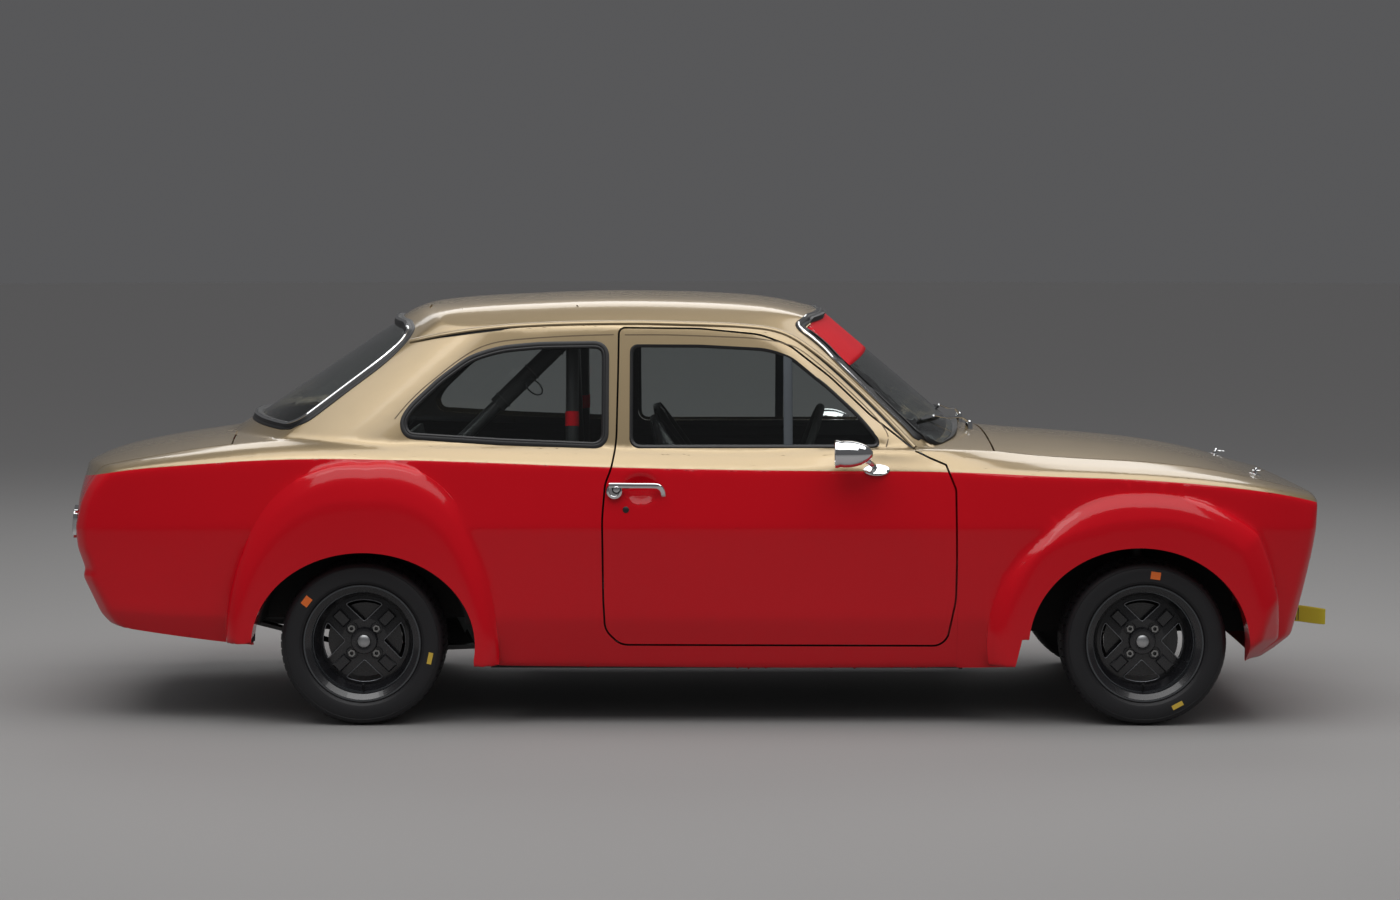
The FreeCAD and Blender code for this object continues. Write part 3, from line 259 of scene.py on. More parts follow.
# dark bronze for the swage lines: painted shade in their grooves
SWAGE_SHADE_GOLD = plain_finish("painted_swage_shade", (0.13, 0.09, 0.045), 0.5, grain=300.0)
STRAP = plain_finish("yellow_webbing", (0.50, 0.40, 0.02), 0.8, grain=900.0, depth=0.0004)

FINISHES = {
    "gold_paint": PAINT, "red_paint": PAINT, "glass": WINDOW, "tyre_rubber": RUBBER, "rim_black": RIM_BLACK,
    "underseal": UNDERSEAL, "steel_dark": DARK_STEEL, "engine_paint": CAST_PAINT, "chrome": CHROME,
    "lamp_glass": LAMP_GLASS, "lamp_red": LAMP_RED, "grille_black": GRILLE_BLACK, "cage_black": CAGE_BLACK,
    "seat_cloth": SEAT_CLOTH, "dash_black": DASH, "wheel_grip": GRIP, "strap_yellow": STRAP, "alloy": ALLOY,
}


def dress_frame():
    slots = {p["node"]: p["material_slot"] for p in frame["record"]["subparts"]}
    for name, obj in frame["nodes"].items():
        mat = FINISHES[slots[name]]
        if obj.material_slots:
            for held in obj.material_slots:
                held.material = mat
        else:
            obj.data.materials.append(mat)


dress_frame()


# ---- painted panels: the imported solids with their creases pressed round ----
PAINTED_SLOTS = ("gold_paint", "red_paint")
PRESS_RADIUS = 0.022      # how far a crease spreads on each side
FINEST_EDGE = 0.011
COARSEST_EDGE = 0.045
CORE_HALF_LENGTH = 1.2    # outward is away from this line through the car
CORE_Z = 0.6
CREASE_ANGLE = math.radians(2.5)
TINY = 1e-12
CABIN_REAR_X, CABIN_FRONT_X = -1.42, 0.79
ROOF_RADIUS = 0.110       # the roof's edges are rolled over more softly
ROOF_LOW_Z, ROOF_HIGH_Z = 1.236, 1.275
DISH_X, DISH_Z = -0.176, 0.731              # middle of the oval dish behind a door handle
DISH_HALF_X, DISH_HALF_Z, DISH_DEEP = 0.052, 0.044, 0.017
DOOR_SKIN_Y, DISH_LEAST_Y = 0.772, 0.745    # the door's skin at the dish, and where the dish may move it


def node_names(*wanted):
    return [p["node"] for p in frame["record"]["subparts"] if p["material_slot"] in wanted]


def merged_mesh(obj):
    bm = bmesh.new()
    bm.from_mesh(obj.data)
    bmesh.ops.transform(bm, matrix=obj.matrix_world, verts=bm.verts)
    bmesh.ops.remove_doubles(bm, verts=bm.verts, dist=1e-5)
    bmesh.ops.dissolve_degenerate(bm, edges=bm.edges, dist=1e-6)
    bm.normal_update()
    return bm


def shell_tree(names):
    """Every face of these nodes, for rays."""
    points, faces = [], []
    for name in names:
        obj = frame["nodes"][name]
        base = len(points)
        points += [obj.matrix_world @ v.co for v in obj.data.vertices]
        faces += [tuple(base + k for k in p.vertices) for p in obj.data.polygons]
    return BVHTree.FromPolygons(points, faces)


def mark_outside(bm, tree):
    """Marks the faces that look outwards and meet no other panel."""
    outside = bm.faces.layers.int.new("outside")
    for face in bm.faces:
        centre = face.calc_center_median()
        core = Vector((min(CORE_HALF_LENGTH, max(-CORE_HALF_LENGTH, centre.x)), 0.0, CORE_Z))
        if face.normal.dot((centre - core).normalized()) < 0.2:
            continue
        if tree.ray_cast(centre + face.normal * 0.001, face.normal, 3.0)[0] is None:
            face[outside] = 1
    return outside


def crease_points(bm, outside):
    points = []
    for edge in bm.edges:
        faces = [f for f in edge.link_faces if f[outside]]
        if len(faces) == 2 and faces[0].normal.angle(faces[1].normal, 0.0) > CREASE_ANGLE:
            a, b = edge.verts[0].co, edge.verts[1].co
            steps = max(1, int((b - a).length / 0.006))
            points += [a.lerp(b, k / steps) for k in range(steps + 1)]
    return points


def refine(bm, outside, creases):
    """Splits long edges near the creases until the press radius has several faces."""
    for _ in range(9):
        long_edges = []
        for edge in bm.edges:
            length = edge.calc_length()
            if length < FINEST_EDGE or not any(f[outside] for f in edge.link_faces):
                continue
            middle = (edge.verts[0].co + edge.verts[1].co) * 0.5
            beyond_press = creases.find(middle)[2] - PRESS_RADIUS
            if length > min(COARSEST_EDGE, max(FINEST_EDGE, 0.9 * beyond_press)):
                long_edges.append(edge)
        if not long_edges:
            break
        bmesh.ops.subdivide_edges(bm, edges=long_edges, cuts=1)
        bmesh.ops.triangulate(bm, faces=[f for f in bm.faces if len(f.verts) > 3])


def spread(points, own, centres, normals, areas, reach):
    """Mean place and direction of the skin within reach of each point."""
    low = centres.min(axis=0) - reach
    size = ((centres.max(axis=0) - low) / reach).astype(int) + 3

    def cell(where):
        return (where[:, 0] * size[1] + where[:, 1]) * size[2] + where[:, 2]

    at = cell(((centres - low) / reach).astype(int) + 1)
    order = np.argsort(at, kind="stable")
    at = at[order]
    centres, normals, areas = centres[order], normals[order], areas[order]
    home = ((points - low) / reach).astype(int) + 1
    total = np.zeros((len(points), 7))
    for step in np.ndindex(3, 3, 3):
        want = cell(home + np.array(step) - 1)
        first = np.searchsorted(at, want, "left")
        count = np.searchsorted(at, want, "right") - first
        who = np.repeat(np.arange(len(points)), count)
        if not len(who):
            continue
        start = np.repeat(first - np.concatenate(([0], np.cumsum(count)[:-1])), count)
        other = start + np.arange(len(who))
        gap = centres[other] - points[who]
        weight = np.maximum(0.0, 1.0 - (gap ** 2).sum(axis=1) / reach ** 2) ** 2 * areas[other]
        weight *= (normals[other] * own[who]).sum(axis=1) > 0.15
        for k in range(3):
            total[:, k] += np.bincount(who, weight * normals[other, k], len(points))
            total[:, 3 + k] += np.bincount(who, weight * gap[:, k], len(points))
        total[:, 6] += np.bincount(who, weight, len(points))
    return total


def press_panels():
    """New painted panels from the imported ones, with rounded creases and smooth normals."""
    names = node_names(*PAINTED_SLOTS)
    tree = shell_tree(names + node_names("glass"))
    meshes = {name: merged_mesh(frame["nodes"][name]) for name in names}
    layers = {name: mark_outside(bm, tree) for name, bm in meshes.items()}
    found = []
    for name, bm in meshes.items():
        found += crease_points(bm, layers[name])
    for s in (-1, 1):
        for k in range(32):
            for share in (0.5, 1.0):
                x, z = dish_place(share, k * math.pi / 16)
                found.append(Vector((x, s * DOOR_SKIN_Y, z)))
    creases = KDTree(len(found))
    for k, point in enumerate(found):
        creases.insert(point, k)
    creases.balance()
    centres, normals, areas = [], [], []
    for name, bm in meshes.items():
        refine(bm, layers[name], creases)
        if name.startswith("door_"):
            press_dish(bm)
        bm.normal_update()
        for face in bm.faces:
            if face[layers[name]]:
                centres.append(face.calc_center_median())
                normals.append(face.normal.copy())
                areas.append(face.calc_area())
    centres, normals, areas = np.array(centres), np.array(normals), np.array(areas)
    return {name: pressed_panel(name, bm, layers[name], centres, normals, areas)
            for name, bm in meshes.items()}


def dish_place(share, turn):
    """A place (x, z) on the oval round a handle's dish, at a share of its size."""
    return DISH_X + share * DISH_HALF_X * math.cos(turn), DISH_Z + share * DISH_HALF_Z * math.sin(turn)


def press_dish(bm):
    """The oval dish behind a door handle."""
    for vert in bm.verts:
        inside = ((vert.co.x - DISH_X) / DISH_HALF_X) ** 2 + ((vert.co.z - DISH_Z) / DISH_HALF_Z) ** 2
        if inside < 1.0 and abs(vert.co.y) > DISH_LEAST_Y:
            vert.co.y -= math.copysign(DISH_DEEP * (1.0 - inside) ** 0.6, vert.co.y)


def faces_cabin(face):
    """Whether a face looks into the cabin, where the panels are coloured near black."""
    centre = face.calc_center_median()
    core = Vector((min(0.6, max(-1.0, centre.x)), 0.0, 0.65))
    return CABIN_REAR_X < centre.x < CABIN_FRONT_X and face.normal.dot((core - centre).normalized()) > 0.35


def ease_directions(skin, ways):
    """Each point's direction averaged with its neighbours' on the same panel."""
    place = {vert: k for k, vert in enumerate(skin)}
    edges = {edge for vert in skin for edge in vert.link_edges}
    pairs = np.array([(place[e.verts[0]], place[e.verts[1]]) for e in edges
                      if e.verts[0] in place and e.verts[1] in place])
    for _ in range(3):
        near = ways * 2.0
        alike = (ways[pairs[:, 0]] * ways[pairs[:, 1]]).sum(axis=1) > 0.7
        for a, b in ((0, 1), (1, 0)):
            for k in range(3):
                near[:, k] += np.bincount(pairs[alike, a], ways[pairs[alike, b], k], len(ways))
        ways = near / np.linalg.norm(near, axis=1)[:, None]
    return ways


def pressed_panel(name, bm, outside, centres, normals, areas):
    """One painted panel, with its creases pressed round and a near-black colour where it faces the cabin."""
    skin = [v for v in bm.verts if any(f[outside] for f in v.link_faces)]
    places = np.array([v.co for v in skin])
    own = np.zeros((len(skin), 3))
    for k, vert in enumerate(skin):
        for face in vert.link_faces:
            if face[outside]:
                own[k] += np.array(face.normal) * face.calc_area()
    size = np.linalg.norm(own, axis=1)
    slivers = size < TINY          # only between faces of no area, so they stay put
    own[slivers] = (0.0, 0.0, 1.0)
    own /= np.maximum(size, TINY)[:, None] * ~slivers[:, None] + slivers[:, None]
    total = spread(places, own, centres, normals, areas, PRESS_RADIUS)
    if name == "roof":
        soft = spread(places, own, centres, normals, areas, ROOF_RADIUS)
        part = np.clip((places[:, 2] - ROOF_LOW_Z) / (ROOF_HIGH_Z - ROOF_LOW_Z), 0.0, 1.0)[:, None]
        total = total / np.maximum(total[:, 6:], TINY) * (1 - part)
        total = total + soft / np.maximum(soft[:, 6:], TINY) * part
    smooth = total[:, :3] + own * 1e-9
    smooth /= np.linalg.norm(smooth, axis=1)[:, None]
    smooth = ease_directions(skin, smooth)
    shift = (total[:, 3:6] * smooth).sum(axis=1) / np.maximum(total[:, 6], TINY)
    shift[slivers] = 0.0
    moved = places + smooth * shift[:, None]
    for vert, place in zip(skin, moved):
        vert.co = place
    bm.normal_update()
    mesh = bpy.data.meshes.new(name + "_pressed")
    bm.verts.index_update()
    loops = []
    direction = {v.index: tuple(n) for v, n in zip(skin, smooth)}
    cabin_dark = []
    for face in bm.faces:
        face.smooth = bool(face[outside])
        cabin_dark.append(int(faces_cabin(face) and not face[outside]))
        for vert in face.verts:
            loops.append(direction[vert.index] if face[outside] else tuple(face.normal))
    bm.to_mesh(mesh)
    bm.free()
    mesh.normals_split_custom_set(loops)
    mesh.materials.append(PAINT)
    mesh.materials.append(CABIN_FACE_DARK)
    for face, inside in zip(mesh.polygons, cabin_dark):
        face.material_index = inside
    obj = bpy.data.objects.new(name + "_panel", mesh)
    bpy.context.collection.objects.link(obj)
    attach(obj, body_of(name))
    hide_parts(name)
    return obj


def body_of(node):
    """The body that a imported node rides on."""
    for body, held in frame["record"]["behaviour"]["bodies"].items():
        if node in held:
            return body


skins = press_panels()


# ---- mesh helpers for fitted pieces ----
SIDES = (("left", 1), ("right", -1))


def finished_mesh(name, points, faces, finish, crisp=35):
    mesh = bpy.data.meshes.new(name)
    mesh.from_pydata([tuple(p) for p in points], [], faces)
    bm = bmesh.new()
    bm.from_mesh(mesh)
    bmesh.ops.remove_doubles(bm, verts=bm.verts, dist=1e-6)
    bmesh.ops.recalc_face_normals(bm, faces=bm.faces)
    bm.to_mesh(mesh)
    bm.free()
    mesh.shade_smooth()
    mesh.set_sharp_from_angle(angle=math.radians(crisp))
    mesh.materials.append(finish)
    return mesh


def fitted(name, shape, finish, body, crisp=35):
    """A new piece from a shape (points, faces), riding on a body."""
    obj = bpy.data.objects.new(name, finished_mesh(name, *shape, finish, crisp))
    bpy.context.collection.objects.link(obj)
    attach(obj, body)
    return obj


def together(shapes):
    points, faces = [], []
    for more, rings in shapes:
        base = len(points)
        points += list(more)
        faces += [tuple(base + k for k in ring) for ring in rings]
    return points, faces


def across(shape):
    """The same shape on the other side of the car."""
    return [Vector((p[0], -p[1], p[2])) for p in shape[0]], shape[1]


def on_side(shape, s):
    return shape if s < 0 else across(shape)


def swept(path, outward, profile, closed=False):
    """A closed profile of (aside, out) rows carried along a path; aside is along x out."""
    count, rows = len(path), len(profile)
    points, faces = [], []
    for k, place in enumerate(path):
        before = path[k - 1] if closed or k else place
        after = path[(k + 1) % count] if closed or k < count - 1 else place
        along = (after - before).normalized()
        out = (outward[k] - along * outward[k].dot(along)).normalized()
        aside = along.cross(out)
        points += [place + aside * a + out * o for a, o in profile]
    for k in range(count if closed else count - 1):
        here, there = k * rows, (k + 1) % count * rows
        faces += [(here + j, here + (j + 1) % rows, there + (j + 1) % rows, there + j) for j in range(rows)]
    if not closed:
        faces += [tuple(range(rows)), tuple((count - 1) * rows + j for j in range(rows))]
    return points, faces


def round_profile(radius, sides=12):
    turns = [2 * math.pi * k / sides for k in range(sides)]
    return [(radius * math.cos(turn), radius * math.sin(turn)) for turn in turns]


def tube(path, radius, sides=12, closed=False):
    path = [Vector(p) for p in path]
    up = (path[1] - path[0]).orthogonal().normalized()
    outward = []
    for k in range(len(path)):
        along = (path[min(k + 1, len(path) - 1)] - path[max(k - 1, 0)]).normalized()
        up = (up - along * up.dot(along)).normalized()
        outward.append(up)
    return swept(path, outward, round_profile(radius, sides), closed)


def turned(centre, axis, profile, steps=48):
    """A shape of revolution; rows are (along the axis, radius)."""
    centre, axis = Vector(centre), Vector(axis).normalized()
    first = axis.orthogonal().normalized()
    second = axis.cross(first)
    points, faces, rows = [], [], len(profile)
    for k in range(steps):
        turn = 2 * math.pi * k / steps
        way = first * math.cos(turn) + second * math.sin(turn)
        points += [centre + axis * a + way * r for a, r in profile]
        here, there = k * rows, (k + 1) % steps * rows
        faces += [(here + j, here + j + 1, there + j + 1, there + j) for j in range(rows - 1)]
    return points, faces


def curve_through(points, step=0.01):
    """Evenly spaced places on a smooth curve through some points."""
    points = [Vector(p) for p in points]
    ends = [points[0] * 2 - points[1]] + points + [points[-1] * 2 - points[-2]]
    dense = []
    for k in range(len(points) - 1):
        a, b, c, d = ends[k:k + 4]
        count = max(2, int((c - b).length / (step / 4)))
        for j in range(count):
            t = j / count
            dense.append(0.5 * (2 * b + (c - a) * t + (2 * a - 5 * b + 4 * c - d) * t ** 2
                                + (3 * b - a - 3 * c + d) * t ** 3))
    dense.append(points[-1])
    return evenly(dense, dense, step)[0]


def evenly(points, also, step, closed=False):
    """Two matching rows of vectors, spaced evenly along the first."""
    if closed:
        points, also = points + points[:1], also + also[:1]
    far = [0.0]
    for a, b in zip(points, points[1:]):
        far.append(far[-1] + (b - a).length)
    count = max(3, round(far[-1] / step))
    places, ways, k = [], [], 0
    for j in range(count if closed else count + 1):
        want = far[-1] * j / count
        while k < len(far) - 2 and far[k + 1] < want:
            k += 1
        t = (want - far[k]) / max(far[k + 1] - far[k], 1e-9)
        places.append(points[k].lerp(points[k + 1], t))
        ways.append(also[k].lerp(also[k + 1], t))
    return places, ways


def eased(row, passes=2, closed=True):
    """Evens out small kinks in a row of vectors."""
    for _ in range(passes):
        row = [v if not closed and k in (0, len(row) - 1) else
               v * 0.5 + (row[k - 1] + row[(k + 1) % len(row)]) * 0.25 for k, v in enumerate(row)]
    return row


def rays_on(objects):
    points, faces = [], []
    for obj in objects:
        base = len(points)
        points += [v.co.copy() for v in obj.data.vertices]
        faces += [tuple(base + k for k in p.vertices) for p in obj.data.polygons]
    return BVHTree.FromPolygons(points, faces)


skin_rays = rays_on(skins.values())
AHEAD_X, BEHIND_X, BESIDE_Y, ABOVE_Z = 2.0, -2.2, -1.3, 2.0      # where rays start, clear of the car


def on_flank(x, z, rays=skin_rays):
    """Place and outward direction on the right flank, or None where it is open."""
    for nudge in (0.0, 0.0007, -0.0007):
        place, way = rays.ray_cast(Vector((x + nudge, BESIDE_Y, z + nudge)), Vector((0, 1, 0)), 1.25)[:2]
        if place:
            return place, way if way.y < 0 else -way
    return None


def on_top(x, y, rays=skin_rays):
    """Place and outward direction on the bonnet, roof or boot lid."""
    place, way = rays.ray_cast(Vector((x, y, ABOVE_Z)), Vector((0, 0, -1)))[:2]
    return place, way if way.z > 0 else -way


def from_ahead(rays, y, z):
    """Place and outward direction that a level ray from ahead meets, or None."""
    place, way = rays.ray_cast(Vector((AHEAD_X, y, z)), Vector((-1, 0, 0)))[:2]
    return (place, way if way.x > 0 else -way) if place else None


def from_behind(rays, y, z):
    """The place that a level ray from behind meets, or None."""
    return rays.ray_cast(Vector((BEHIND_X, y, z)), Vector((1, 0, 0)))[0]


def line_on_flank(rows, step=0.012, rays=skin_rays):
    """A path on the right flank through (x, z) rows, with its outward directions."""
    path = curve_through([(x, 0, z) for x, z in rows], step)
    found = [hit for hit in (on_flank(p.x, p.z, rays) for p in path) if hit]
    return eased([f[0] for f in found], 3, False), eased([f[1] for f in found], 3, False)


# ---- window seals, bright strips and posts ----
PANE_STEP = math.radians(30)
SCREEN_SEAL = [(-0.0190, -0.0080), (-0.0195, 0.0000), (-0.0170, 0.0050), (-0.0095, 0.0130),
               (-0.0040, 0.0155), (0.0045, 0.0150), (0.0120, 0.0090), (0.0165, 0.0018), (0.0170, 0.0003),
               (0.0000, 0.0003)]
SCREEN_STRIP = [(-0.0062, 0.0105), (-0.0062, 0.0160), (-0.0035, 0.0186), (0.0005, 0.0186), (0.0030, 0.0160),
                (0.0030, 0.0105)]
QUARTER_SEAL = [(-0.007, 0.0050), (-0.0066, 0.0078), (-0.002, 0.0094), (0.004, 0.0088), (0.0065, 0.0066),
                (0.010, 0.0072), (0.0145, 0.0046), (0.0160, 0.0003), (0.000, 0.0003)]
DOOR_SEAL = [(-0.0004, 0.0003), (-0.0004, 0.0046), (0.002, 0.0058), (0.006, 0.0050), (0.0095, 0.0022),
             (0.0105, 0.0003)]
LIGHT_POST_X = 0.276      # upright between the door's two panes
LIGHT_POST = [(-0.014, 0.0003), (-0.014, 0.0026), (-0.011, 0.0044), (0.011, 0.0044), (0.014, 0.0026),
              (0.014, 0.0003)]


def outer_faces(bm):
    """The outer skin of each pane in a mesh: gentle steps on from its largest outward face."""
    found = set()
    for face in sorted(bm.faces, key=lambda f: -f.calc_area())[:12]:
        centre = face.calc_center_median()
        core = Vector((min(CORE_HALF_LENGTH, max(-CORE_HALF_LENGTH, centre.x)), 0.0, CORE_Z))
        if face in found or face.normal.dot((centre - core).normalized()) < 0.5:
            continue
        waiting = [face]
        while waiting:
            at = waiting.pop()
            if at in found:
                continue
            found.add(at)
            for edge in at.edges:
                waiting += [f for f in edge.link_faces
                            if f not in found and f.normal.angle(at.normal, 0.0) < PANE_STEP]
    return found


def pane_loops(node):
    """Outer edges of a pane's outer face, with its outward directions."""
    bm = merged_mesh(frame["nodes"][node])
    outer = outer_faces(bm)
    joins = {}
    for edge in bm.edges:
        faces = [f for f in edge.link_faces if f in outer]
        if len(faces) == 1:
            for vert in edge.verts:
                joins.setdefault(vert, []).append((edge.other_vert(vert), faces[0].normal.copy()))
    loops = []
    while joins:
        vert = next(iter(joins))
        points, ways = [], []
        while vert in joins:
            ahead = joins.pop(vert)
            points.append(vert.co.copy())
            ways.append(ahead[0][1])
            vert = next((other for other, _ in ahead if other in joins), None)
        if sum((b - a).length for a, b in zip(points, points[1:])) > 0.5:
            loops.append((points, ways))
    bm.free()
    return loops


def seal_paths(node):
    """The same loops, eased, running so that aside points into the pane."""
    paths = []
    for points, ways in pane_loops(node):
        path, out = evenly(points, ways, 0.008, closed=True)
        path, out = eased(path, 3), eased(out, 6)
        centre = sum(path, Vector()) / len(path)
        inward = sum((path[(k + 1) % len(path)] - path[k]).cross(out[k]).dot(centre - path[k])
                     for k in range(len(path)))
        if inward < 0:
            path, out = path[::-1], out[::-1]
        paths.append((path, out))
    return paths


# rows of the lip: how far out from the pane, and how high over the paint
LIP_ROWS = [(-0.004, 0.0040), (0.002, 0.0046), (0.008, 0.0046), (0.014, 0.0042), (0.0195, 0.0034),
            (0.0225, 0.0018), (0.0232, -0.0030)]
LIP_BARE = 0.0055      # its height over the pane's edge where no paint is below it


def outer_lip(path, out):
    """The seal's broad outer lip, lying on the painted skin round the pane."""
    points = []
    for k, place in enumerate(path):
        along = path[(k + 1) % len(path)] - path[k - 1]
        away = out[k].cross(along).normalized()
        for step, lift in LIP_ROWS:
            high = place + away * step + out[k] * 0.05
            hit, normal = skin_rays.ray_cast(high, -out[k], 0.10)[:2]
            if hit and normal.dot(out[k]) > 0.02 and (hit - high).length < 0.075:
                points.append(hit + normal * lift)
            else:
                points.append(place + away * step + out[k] * (LIP_BARE + lift))
    rows = len(LIP_ROWS)
    faces = []
    for k in range(len(path)):
        q = (k + 1) % len(path)
        faces += [(k * rows + j, q * rows + j, q * rows + j + 1, k * rows + j + 1) for j in range(rows - 1)]
    for _ in range(3):
        points = [sum((points[((k + d) % len(path)) * rows + j] for d in (-1, 0, 1)), Vector()) / 3
                  for k in range(len(path)) for j in range(rows)]
    return points, faces


def window_trims():
    for node in ("windscreen", "rear_window"):
        path, out = seal_paths(node)[0]
        fitted(node + "_outer_lip", outer_lip(path, out), SEAL, "body")
        fitted(node + "_seal", swept(path, out, SCREEN_SEAL, True), SEAL, "body")
        fitted(node + "_bright_strip", swept(path, out, SCREEN_STRIP, True), CHROME, "body")
    for path, out in seal_paths("quarter_windows"):
        name = "quarter_window_seal_" + ("left" if path[0].y > 0 else "right")
        fitted(name, swept(path, out, QUARTER_SEAL, True), SEAL, "body")
    for side, _ in SIDES:
        path, out = seal_paths("door_window_" + side)[0]
        fitted("door_window_seal_" + side, swept(path, out, DOOR_SEAL, True), SEAL, "door_" + side)
    pane = shell_tree(["door_window_right"])
    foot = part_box("door_window_right")[0][2] + 0.004
    rows = [hit for hit in (on_flank(LIGHT_POST_X, foot + 0.012 * k, pane) for k in range(30)) if hit]
    post = swept([r[0] for r in rows], [r[1] for r in rows], LIGHT_POST)
    for side, s in SIDES:
        fitted("quarter_light_post_" + side, on_side(post, s), POST_GREY, "door_" + side)


window_trims()


STRIP_TOP_Z = 1.262       # just over the windscreen
STRIP_FOOT_Z = 1.134      # lower edge of the red film at the car's middle
STRIP_CURVE = 0.12        # how it drops to the sides, by the square of y
STRIP_ROWS = 15


def sunstrip():
    """A red film along the upper edge of the windscreen."""
    pane = shell_tree(["windscreen"])
    columns = []
    for k in range(-150, 151):
        y = k * 0.0040
        tops = [hit for hit in (from_ahead(pane, y, STRIP_TOP_Z - 0.003 * j) for j in range(90)) if hit]
        foot = STRIP_FOOT_Z - STRIP_CURVE * y * y
        if not tops or tops[0][0].z <= foot + 0.004:
            continue
        top = tops[0][0].z
        rows = [from_ahead(pane, y, top + (foot - top) * j / (STRIP_ROWS - 1)) for j in range(STRIP_ROWS)]
        if all(rows):
            columns.append([place + way * 0.0005 for place, way in rows])
    points = [place for column in columns for place in column]
    n = STRIP_ROWS
    faces = [(n * k + j, n * k + j + 1, n * k + j + n + 1, n * k + j + n)
             for k in range(len(columns) - 1) for j in range(n - 1)]
    film = fitted("windscreen_sunstrip", (points, faces), FILM_RED, "body")
    wall = film.modifiers.new("wall", "SOLIDIFY")
    wall.thickness = 0.0002


sunstrip()


# ---- drip rails and swage lines ----
# lines along the flank, each through a few places (x, z)
RAIL_LINE = [(-0.896, 1.174), (-0.810, 1.193), (-0.709, 1.2097), (-0.610, 1.2207), (-0.511, 1.227),
             (-0.412, 1.2309), (-0.313, 1.233), (-0.185, 1.2339), (-0.089, 1.232), (0.065, 1.2273),
             (0.142, 1.2225), (0.219, 1.2138), (0.281, 1.1945), (0.342, 1.1565), (0.412, 1.1016),
             (0.488, 1.0331), (0.564, 0.9593), (0.639, 0.8812), (0.665, 0.8545)]
RAIL_LIP = [(-0.007, -0.012), (-0.007, 0.0005), (-0.004, 0.0060), (0.000, 0.0095), (0.0040, 0.0098),
            (0.0050, 0.0075), (0.0035, 0.0060), (0.0035, -0.012)]
# a black strip under the rail's lip: the painted shadow of the lip
RAIL_LIP_SHADOW = [(0.003, -0.012), (0.003, 0.0058), (0.0110, 0.0078), (0.0115, -0.012)]
BODY_SWAGE = [(-0.9352, 0.9401), (-0.9016, 0.9812), (-0.8533, 1.0297), (-0.8047, 1.0696),
              (-0.756, 1.1085), (-0.7072, 1.1417), (-0.6679, 1.1612), (-0.6187, 1.1749),
              (-0.5596, 1.1823), (-0.4609, 1.1897), (-0.3622, 1.1947), (-0.262, 1.1973)]
DOOR_SWAGE = [(-0.228, 1.1968), (-0.0888, 1.1965), (0.065, 1.1912), (0.1573, 1.1873),
              (0.2189, 1.1796), (0.2805, 1.1671), (0.3267, 1.1426), (0.411, 1.0739),
              (0.4874, 1.0041), (0.5404, 0.9515), (0.5790, 0.9060), (0.5860, 0.8800),
              (0.5766, 0.8565)]
# a thin dark strip along each swage line: the painted shade of its groove
SWAGE = [(-0.0022, -0.0008), (-0.0016, 0.0007), (0.0016, 0.0007), (0.0022, -0.0008)]


def side_lines():
    path = line_on_flank(RAIL_LINE)[0]
    out = [Vector((0, -1, 0))] * len(path)
    rail, rail_shade = swept(path, out, RAIL_LIP), swept(path, out, RAIL_LIP_SHADOW)
    on_body, on_door = (swept(*line_on_flank(rows), SWAGE) for rows in (BODY_SWAGE, DOOR_SWAGE))
    for side, s in SIDES:
        fitted("drip_rail_" + side, on_side(rail, s), PAINT, "body")
        # the black strip under each rail is painted shadow
        fitted("drip_rail_shadow_" + side, on_side(rail_shade, s), SEAL, "body")
        # the swage strips are painted shade
        fitted("body_swage_shade_" + side, on_side(on_body, s), SWAGE_SHADE_GOLD, "body")
        fitted("door_swage_shade_" + side, on_side(on_door, s), SWAGE_SHADE_GOLD, "door_" + side)


side_lines()

# ---- tyres and wheels ----
WHEEL_MIDDLE_Y = 0.655
TYRE_FLANK = [(0.1680, 0.0860), (0.1822, 0.0860), (0.1832, 0.0935), (0.1870, 0.0985), (0.1900, 0.1000),
              (0.1920, 0.1022), (0.1980, 0.1042), (0.2080, 0.1056), (0.2180, 0.1059), (0.2270, 0.1048),
              (0.2330, 0.1024), (0.2338, 0.1032), (0.2350, 0.1032), (0.2358, 0.1012), (0.2410, 0.0978),
              (0.2455, 0.0922), (0.2478, 0.0865)]
TREAD_RIBS = [(0.0800, 0.0575, 0.006), (0.0470, 0.0225, 0.005), (0.0120, -0.0120, 0.0),
              (-0.0225, -0.0470, 0.005), (-0.0575, -0.0800, 0.006)]
TREAD_R = 0.2538
GROOVE = 0.007
PITCHES = 64
CUT = (0.0, 0.78, 0.82, 0.96)      # block, block end, cut, cut end, in shares of a pitch
SPOKE_TURNS, WINDOW_TURNS = (45, 135, 225, 315), (0, 90, 180, 270)      # degrees from the top
SPOKE_HALF = 0.040
WINDOW_REACH = 0.128
SPOKE_FACE_Y = 0.6742
BAR_NEAR, BAR_FAR, BAR_HALF, BAR_CHAMFER = 0.074, 0.124, 0.017, 0.004
BAR_FOOT_Y, BAR_TOP_Y = SPOKE_FACE_Y - 0.003, SPOKE_FACE_Y + 0.0055
NUT_CIRCLE_R, NUT_Y = 0.054, SPOKE_FACE_Y + 0.006
HUB_Y, CAP_Y, RIM_EDGE_Y, LABEL_Y = 0.690, 0.692, 0.750, 0.7612
NUT_WELL = [(-0.002, 0.0165), (0.0012, 0.0168), (0.0026, 0.0185), (0.0020, 0.0200), (-0.002, 0.0200)]
HUB_BOSS = [(-0.012, 0.0405), (-0.004, 0.0410), (0.0005, 0.0385), (0.0015, 0.034), (0.0015, 0.026),
            (0.0005, 0.021), (0.0025, 0.0195)]
CENTRE_CAP = [(0.0, 0.0195), (0.002, 0.0190), (0.0035, 0.0165), (0.0055, 0.0120), (0.0065, 0.006),
              (0.0068, 0.0)]
